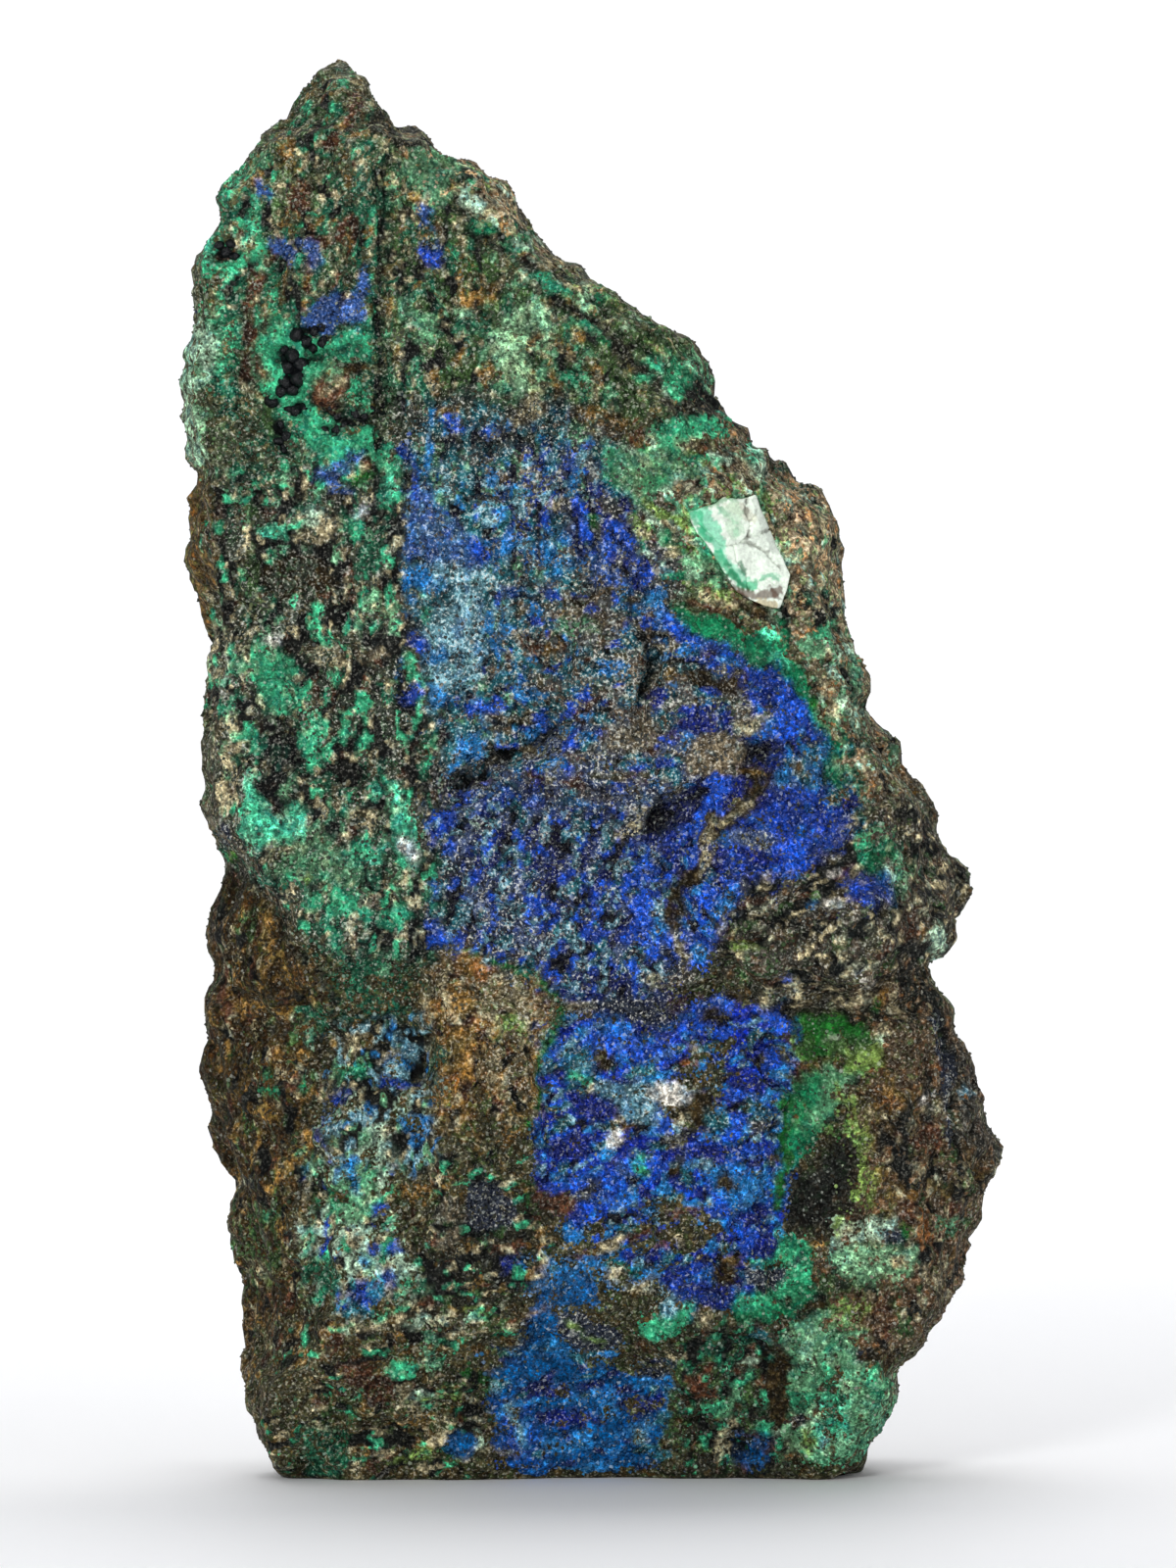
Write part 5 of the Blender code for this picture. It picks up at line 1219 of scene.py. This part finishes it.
# colours of the painted sheen, glints and flash
PAINTED_SHEEN_COLOUR = (0.50, 0.53, 0.46, 1.0)
PAINTED_GLINT_COLOUR = (0.72, 0.70, 0.64, 1.0)
PAINTED_FLASH_COLOUR = (1.0, 0.97, 0.84)

rock_finish, rock_shader, spot = new_finish("rock", ROCK_ROUGHNESS, ROCK_REFLECTION)
broad = cloud(spot, BROAD_SCALE, 3.0) - 0.5
mottle = cloud(spot, MOTTLE_SCALE, 4.0, 0.60) - 0.5
medium = cloud(spot, MEDIUM_SCALE, 2.0) - 0.5
fine = cloud(spot, FINE_SCALE, 2.0) - 0.5
grain_gap = spot.node("ShaderNodeTexVoronoi", {"Vector": spot, "Scale": GRAIN_SCALE}, "Distance")
grain = spot.node("ShaderNodeSeparateColor", {0: grain_gap.out("Color")}, "Red")
grain_green, grain_blue = grain.out("Green"), grain.out("Blue")

# light and dark: random tone grain by grain and along the layers; painted shade at each grain's edge and
# painted light at its middle; painted shade where the rock's relief is low and painted light where it is
# high; and a painted sparkle of fine light and dark specks. Thick malachite is calmer.
painted_shading_and_tone = medium * 6.5 + (GRAIN_EDGE - grain_gap) * 1.4 + (grain - 0.5) * 0.6
painted_shading_and_tone = painted_shading_and_tone + kept(spot, "relief") * 0.8 + broad * 1.2
painted_sparkle = fine * 13.0 + (GRAIN_EDGE - grain_gap) * 0.8
solid = ((kept(spot, "malachite_growth") - 0.62) * 4.0).clamp()
swing = solid * -0.45 + 0.85
painted_shading_and_tone_factor = painted_shading_and_tone.math("POWER", 2.72, painted_shading_and_tone * swing + solid * 0.06 - 0.06).clamp(0.06, 1.9)
painted_shading_and_tone_factor = painted_shading_and_tone_factor * (painted_sparkle * (solid * -0.12 + 0.28) + 1.0).clamp(0.12, 2.0)

# where a thin crust leaves rock bare, it does so in mottles, not as an even veil
threshold = mottle * 2.6 + medium * 1.2 + (grain_green - 0.5) * 0.3 + 0.5
covered = ((kept(spot, "crust_cover") * 1.40 - 0.18 - threshold) * 3.8 + 0.5).clamp()


def shifted(colour, share, shift):
    """A colour with a share of its own tint, moved by a shift, mixed in."""
    tinted = colour.node("ShaderNodeVectorMath", {0: colour, 1: shift}, operation="MULTIPLY")
    return colour.mixed(share, tinted)


crust_tone = kept(spot, "crust_colour", "Color")
crust_tone = shifted(crust_tone, ((broad * 2.0 - mottle * 3.0) * 2.0).clamp(0.0, 0.8), DEEP_SHIFT)
ground_tone = kept(spot, "ground_colour", "Color")
ground_tone = shifted(ground_tone, ((grain_blue - 0.60) * 2.0 + mottle * 3.0).clamp(), WARM_SHIFT)
ground_tone = shifted(ground_tone, ((0.42 - grain_blue) * 2.0 - mottle * 3.0).clamp(), GREEN_SHIFT)
# how densely painted glints lie, and a dull painted sheen that grows with it and where the tone is light
glint = kept(spot, "glint")
painted_sheen = ((painted_shading_and_tone + painted_sparkle * 0.5) * (glint + 0.02) + glint * 0.6 - 0.22).clamp(0.0, 0.8)
surface = ground_tone.mixed(covered, crust_tone).scaled(painted_shading_and_tone_factor)

# painted highlights that stand in for small faces catching the light: a warm painted flash, a dull painted
# sheen, and painted glints
painted_flash = ((painted_sparkle - 0.55) * 0.40).clamp(0.0, 0.80) * (glint * 3.2 - 0.03).clamp(0.0, 1.2)
painted_flash_colour = painted_flash.node("ShaderNodeVectorMath", {0: PAINTED_FLASH_COLOUR, "Scale": painted_flash}, operation="SCALE")
surface = surface.node("ShaderNodeVectorMath", {0: surface, 1: painted_flash_colour}, operation="ADD")
surface = surface.mixed(painted_sheen, PAINTED_SHEEN_COLOUR)
painted_glint_spots = ((fine * 1.2 + medium * 0.8 + glint * 0.9 - 0.42) * 9.0).clamp()
surface = surface.mixed(painted_glint_spots * 0.8, PAINTED_GLINT_COLOUR)
bump_height = fine * 0.5 + medium * 0.9 + mottle * 0.8 - grain_gap * 0.45
rough_skin = spot.node("ShaderNodeBump", {"Strength": 1.0, "Distance": 0.00030, "Height": bump_height})
shine = ROCK_ROUGHNESS - painted_glint_spots * CRYSTAL_SHINE
plug(rock_shader, {"Base Color": surface, "Roughness": shine, "Normal": rough_skin})
rock_mesh.materials.clear()
rock_mesh.materials.append(rock_finish)
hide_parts("azurite_specimen")
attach(rock, "root")


# ---------------------------------------------------------------- the pale plate
# A chip of chalky, nearly white copper crust lies in the greens of the right
# slope. It is smooth and cracked, stained green on its left and rusty at its
# low end, and its edges stand clear of the rock that it grew on.
PLATE_OUTLINE = [
    (703, 522), (716, 518), (729, 515), (738, 507), (752, 509), (771, 505), (776, 519), (786, 541),
    (794, 564), (807, 586), (804, 600), (795, 621), (779, 618), (765, 612), (752, 604), (743, 590),
    (734, 574), (725, 560), (711, 544), (705, 532),
]
PLATE_RISE, PLATE_DEPTH = 0.0008, 0.0016
PLATE_VOXEL, PLATE_RELAX = 0.00012, 4
# relief of its face, and how far its stains wander in tenths: (strength, wave size)
PLATE_RELIEF = [(0.00016, 0.0024), (0.00005, 0.0007)]
STAIN_WANDER = [(3.0, 0.0012), (3.0, 0.00035)]
PLATE_CRACKS = [
    [(714, 534), (728, 546), (736, 556), (750, 556), (758, 552), (764, 546), (774, 546), (786, 540)],
    [(758, 552), (770, 556), (781, 563), (789, 573), (797, 580)],
    [(764, 546), (766, 534), (761, 522), (763, 508)],
    [(750, 556), (752, 572), (762, 584), (764, 600)],
    [(770, 594), (782, 590), (792, 596), (803, 592)],
    [(774, 520), (768, 530)],
]
CRACK_DEPTH, CRACK_HALF_WIDTH = 0.00022, 1.6
PLATE_STAINS = [
    ("malachite_mint", 0.70, 9.0, [(714, 522), (722, 536), (734, 554)]),
    ("malachite", 0.75, 3.5, [(705, 524), (712, 538), (724, 552)]),
    ("sage", 0.70, 4.0, [(720, 514), (734, 511), (750, 508)]),
    ("malachite", 0.80, 3.0, [(714, 526), (718, 542)]),
    ("cream", 0.30, 5.0, [(742, 516), (758, 520), (768, 530)]),
    ("malachite", 0.65, 2.6, [(736, 520), (748, 530), (752, 544)]),
    ("malachite_mint", 0.60, 4.0, [(736, 566), (748, 580), (760, 592)]),
    ("malachite", 0.85, 4.5, [(732, 566), (744, 584), (758, 597), (768, 598)]),
    ("brown_rock", 0.80, 2.5, [(738, 586), (752, 604), (764, 612)]),
    ("emerald", 0.80, 2.5, [(742, 576), (750, 590), (762, 600)]),
    ("emerald", 0.70, 2.0, [(756, 574), (760, 586)]),
    ("malachite", 0.65, 2.0, [(772, 594), (783, 587), (794, 590)]),
    ("rust", 0.75, 4.0, [(754, 603), (768, 608), (784, 606), (796, 602)]),
    ("cream", 0.80, 4.0, [(774, 615), (789, 617)]),
    ("rust", 0.70, 1.6, [(784, 598), (795, 612)]),
    ("brown_rock", 0.65, 1.1, [(764, 546), (766, 534), (761, 522), (763, 508)]),
    ("brown_rock", 0.60, 1.0, [(736, 556), (750, 556), (758, 552), (764, 546), (774, 546), (786, 540)]),
    ("brown_rock", 0.55, 1.0, [(758, 552), (770, 556), (781, 563), (789, 573), (797, 580)]),
    ("grey_rock", 0.35, 4.0, [(772, 512), (778, 530), (790, 560)]),
    ("pale_mint", 0.60, 9.0, [(746, 520), (750, 540)]),
]
PLATE_COLOUR, PLATE_ROUGHNESS, PLATE_REFLECTION = (0.88, 0.97, 0.84), 0.45, 0.30
STAIN_BLEND = 3.0
# the rock is set back this many tenths past the plate's outline, as deep as the front goes
SEAT_MARGIN, SEAT_REACH = 2.0, 0.01


def off_sheet(right, down, y):
    """The place at a depth that appears at a point of the front sheet."""
    grow = (EYE_DISTANCE + y - SHEET_Y) / EYE_DISTANCE
    x = eye_x + (right - FRAME_WIDE / 2) * TENTH * grow
    return Vector((x, y, eye_height + (FRAME_HIGH / 2 - down) * TENTH * grow))


def depth_on(tree, right, down):
    """How deep the surface behind a point of the front sheet lies."""
    eye = Vector(camera.location)
    return tree.ray_cast(eye, (off_sheet(right, down, 0.0) - eye).normalized())[0].y


bm = bmesh.new()
bm.from_mesh(rock_mesh)
rock_tree = BVHTree.FromBMesh(bm)
bm.free()
depths = np.array([depth_on(rock_tree, *point) for point in PLATE_OUTLINE])
spread = np.column_stack([np.array(PLATE_OUTLINE), np.ones(len(PLATE_OUTLINE))])
plane = np.linalg.lstsq(spread, depths, rcond=None)[0]
# the rock is set back under the plate, where it would swell through it
places = mesh_numbers(rock_mesh, "co")
right, down = on_sheet(places)
under = (outline_depth(right, down, PLATE_OUTLINE) > -SEAT_MARGIN) & (places[:, 1] < SEAT_REACH)
seat = plane[0] * right + plane[1] * down + plane[2]
places[:, 1] = np.where(under, np.maximum(places[:, 1], seat), places[:, 1])
set_places(rock_mesh, places)

bm = bmesh.new()
rings = []
for lift in (-PLATE_RISE, PLATE_DEPTH - PLATE_RISE):
    level = [(x, y, plane @ (x, y, 1.0) + lift) for x, y in PLATE_OUTLINE]
    rings.append([bm.verts.new(off_sheet(*point)) for point in level])
bm.faces.new(rings[0])
bm.faces.new(rings[1][::-1])
for i in range(len(PLATE_OUTLINE)):
    bm.faces.new((rings[0][i - 1], rings[1][i - 1], rings[1][i], rings[0][i]))
bmesh.ops.recalc_face_normals(bm, faces=bm.faces)
plate = new_piece("pale_plate", bm)
plate_mesh = evened(plate, PLATE_VOXEL, PLATE_RELAX)
plate_mesh.shade_smooth()

places = mesh_numbers(plate_mesh, "co")
normals = mesh_numbers(plate_mesh, "normal")
right, down = on_sheet(places)
relief = sum(height * waves(places, size) for height, size in PLATE_RELIEF)
for path in PLATE_CRACKS:
    relief -= CRACK_DEPTH * (1.0 - ease(gap_to_path(right, down, path) / CRACK_HALF_WIDTH))
set_places(plate_mesh, places + normals * relief[:, None])
stain = Coat(len(places))
every = np.arange(len(places))
MINERALS["pale_plate"] = (PLATE_COLOUR, 0.0, 0.0)
stain.lay("pale_plate", 1.0, every, np.ones(len(places)))
ragged = sum(wander * waves(places, size) for wander, size in STAIN_WANDER)
for mineral, share, half_width, path in PLATE_STAINS:
    depth = half_width + ragged - gap_to_path(right, down, path)
    stain.lay(mineral, 1.0, every, share * ease(0.5 + depth / STAIN_BLEND))
add_values(plate_mesh, "crust_colour", stain.colour)
plate_finish, plate_shader, spot = new_finish("pale_plate", PLATE_ROUGHNESS, PLATE_REFLECTION)
fine = cloud(spot, FINE_SCALE, 2.0) - 0.5
mottle = cloud(spot, MOTTLE_SCALE, 6.0, 0.70) - 0.5
chalk = kept(spot, "crust_colour", "Color").scaled(1.0 + fine * 0.7 + mottle * 1.4)
chalky = {"Strength": 0.4, "Distance": 0.0002, "Height": mottle + fine * 0.4}
rough_skin = spot.node("ShaderNodeBump", chalky)
plug(plate_shader, {"Base Color": chalk, "Normal": rough_skin})
plate_mesh.materials.append(plate_finish)
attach(plate, "root")


# ---------------------------------------------------------------- the black knobs
# A cluster of black iron and manganese knobs lines the small hollow in the
# malachite. Each is a lumpy bead, sunk by half in the rock that it grew on.

# (right, down, radius), in tenths of a millimetre on the sheet
KNOBS = [
    (303, 341, 8), (312, 347, 6), (320, 338, 6), (328, 334, 4), (330, 350, 6), (320, 356, 5), (291, 357, 5),
    (299, 364, 8), (307, 372, 9), (294, 375, 8), (304, 386, 9), (292, 390, 8), (299, 398, 7), (287, 400, 6),
    (277, 411, 7), (302, 420, 7), (311, 418, 6), (294, 418, 4), (286, 434, 5), (292, 446, 6), (284, 450, 5),
    (289, 459, 4), (343, 438, 5), (332, 438, 4), (352, 433, 4), (362, 423, 5), (372, 424, 4), (380, 417, 4),
    (345, 425, 4), (336, 417, 3), (231, 256, 7), (239, 262, 5), (224, 250, 5), (235, 248, 5),
]
KNOB_ROUNDNESS = 3
KNOB_LUMPS = [(0.00028, 0.0009), (0.00016, 0.0004)]
KNOB_COLOUR, KNOB_ROUGHNESS, KNOB_REFLECTION = (0.0025, 0.0035, 0.0045, 1.0), 0.10, 0.30

bm = bmesh.new()
for middle, low, radius in KNOBS:
    knob_place = off_sheet(middle, low, depth_on(rock_tree, middle, low))
    knob = bmesh.ops.create_icosphere(bm, subdivisions=KNOB_ROUNDNESS, radius=radius * TENTH)
    bmesh.ops.translate(bm, verts=knob["verts"], vec=knob_place)
knobs = new_piece("black_knobs", bm)
knobs_mesh = knobs.data
knobs_mesh.shade_smooth()
places = mesh_numbers(knobs_mesh, "co")
normals = mesh_numbers(knobs_mesh, "normal")
lumps = sum(height * waves(places, size) for height, size in KNOB_LUMPS)
set_places(knobs_mesh, places + normals * lumps[:, None])
knobs_finish, knobs_shader, spot = new_finish("black_knobs", KNOB_ROUGHNESS, KNOB_REFLECTION)
knobs_shader.inputs["Base Color"].default_value = KNOB_COLOUR
grime = cloud(spot, FINE_SCALE, 3.0)
rough_skin = spot.node("ShaderNodeBump", {"Strength": 0.9, "Distance": 0.0002, "Height": grime})
plug(knobs_shader, {"Roughness": KNOB_ROUGHNESS + grime * 0.5, "Normal": rough_skin})
knobs_mesh.materials.append(knobs_finish)
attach(knobs, "root")


# ---------------------------------------------------------------- crystals, beads and grit
# Azurite stands on its crusts as small blocky crystals, malachite as round beads,
# and the broken rock sheds sharp grit and pale grains. Each grew on or is held in
# the skin, half sunk, so it sits thickest where its own mineral covers the rock.

# name, kind, where it grows, whose colour it takes, roughness, reflection,
# grains a square centimetre, least and most size in metres, shape, seed
GROWTHS = [
    ("azurite_crystals", "sharp", "azurite_growth", "crust_colour", 0.35, 0.15,
     820.0, 0.00010, 0.00028, (1.0, 0.55, 1.35), 3),
    ("malachite_beads", "round", "malachite_growth", "crust_colour", 0.45, 0.12,
     330.0, 0.00010, 0.00028, (1.0, 1.0, 0.9), 5),
    ("pale_grains", "sharp", "pale_growth", "crust_colour", 0.40, 0.25,
     420.0, 0.00008, 0.00020, (1.0, 0.6, 1.2), 7),
    ("rock_grit", "sharp", "rock_growth", "ground_colour", 0.50, 0.15,
     360.0, 0.00010, 0.00028, (1.0, 0.7, 1.1), 11),
]
SQUARE_CENTIMETRE = 1.0e-4
DULL_COLOUR, DULL_SHARE = (0.070, 0.080, 0.070, 1.0), 0.22
GRAIN_INPUTS = {
    "Geometry": "NodeSocketGeometry", "Where": "NodeSocketString", "Per square metre": "NodeSocketFloat",
    "Least size": "NodeSocketFloat", "Most size": "NodeSocketFloat", "Shape": "NodeSocketVector",
    "Seed": "NodeSocketInt", "Material": "NodeSocketMaterial",
}


def grain_tree(name, is_round):
    """Geometry nodes that strew grains over a surface where one of its values says they grow."""
    tree = bpy.data.node_groups.new(name, "GeometryNodeTree")
    for title, kind in GRAIN_INPUTS.items():
        tree.interface.new_socket(title, in_out="INPUT", socket_type=kind)
    tree.interface.new_socket("Geometry", in_out="OUTPUT", socket_type="NodeSocketGeometry")
    start = Wire(tree, tree.nodes.new("NodeGroupInput").outputs["Geometry"])
    seed = start.out("Seed")
    grows = start.node("GeometryNodeInputNamedAttribute", {"Name": start.out("Where")}, data_type="FLOAT")
    strewn = {"Mesh": start, "Density": grows * start.out("Per square metre"), "Seed": seed}
    points = start.node("GeometryNodeDistributePointsOnFaces", strewn)
    shade = start.node("FunctionNodeRandomValue", {2: 0.0, 3: 1.0, "Seed": seed + 1}, 1, data_type="FLOAT")
    store = {"Geometry": points, "Name": "shade", "Value": shade}
    points = start.node("GeometryNodeStoreNamedAttribute", store, data_type="FLOAT", domain="POINT")
    if is_round:
        grain = start.node("GeometryNodeMeshIcoSphere", {"Radius": 1.0, "Subdivisions": 1})
    else:
        grain = start.node("GeometryNodeMeshUVSphere", {"Segments": 4, "Rings": 2, "Radius": 1.0})
    spin = {0: (0.0, 0.0, 0.0), 1: (math.tau, math.tau, math.tau), "Seed": seed + 2}
    turn = start.node("FunctionNodeRandomValue", spin, 0, data_type="FLOAT_VECTOR")
    reach = {2: start.out("Least size"), 3: start.out("Most size"), "Seed": seed + 3}
    size = start.node("FunctionNodeRandomValue", reach, 1, data_type="FLOAT")
    scale = start.out("Shape").scaled(size)
    placed = {"Points": points, "Instance": grain, "Rotation": turn, "Scale": scale}
    grains = start.node("GeometryNodeInstanceOnPoints", placed)
    grains = start.node("GeometryNodeRealizeInstances", {"Geometry": grains})
    grains = start.node("GeometryNodeSetShadeSmooth", {"Geometry": grains, "Shade Smooth": is_round})
    grains = start.node("GeometryNodeSetMaterial", {"Geometry": grains, "Material": start.out("Material")})
    end = tree.nodes.new("NodeGroupOutput")
    tree.links.new(grains.socket, end.inputs["Geometry"])
    return tree


def grain_finish(name, colour_name, roughness, reflection):
    """A material for grains: the colour of what they grow on, lighter or darker by turns, with a painted
    highlight on some.
    """
    finish, shader, spot = new_finish(name, roughness, reflection)
    shade = kept(spot, "shade")
    fine = cloud(spot, FINE_SCALE, 2.0) - 0.5
    colour = kept(spot, colour_name, "Color").scaled(0.50 + shade * shade + fine * 0.8)
    # some grains get a painted highlight of pale sheen
    pale = ((shade - 0.84) * 6.0).clamp() * 0.55
    plug(shader, {"Base Color": colour.mixed(DULL_SHARE, DULL_COLOUR).mixed(pale, PAINTED_SHEEN_COLOUR)})
    return finish


trees = {kind: grain_tree(kind + "_grains", kind == "round") for kind in ("round", "sharp")}
for name, kind, where, colour_name, roughness, reflection, count, least, most, shape, seed in GROWTHS:
    grains = bpy.data.objects.new(name, rock_mesh.copy())
    scene.collection.objects.link(grains)
    strew = grains.modifiers.new("grains", "NODES")
    strew.node_group = trees[kind]
    values = {"Where": where, "Per square metre": count / SQUARE_CENTIMETRE, "Least size": least,
              "Most size": most, "Shape": shape, "Seed": seed,
              "Material": grain_finish(name, colour_name, roughness, reflection)}
    for socket in strew.node_group.interface.items_tree:
        if socket.name in values:
            strew[socket.identifier] = values[socket.name]
    make_plain(grains).materials.pop(index=0)
    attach(grains, "root")
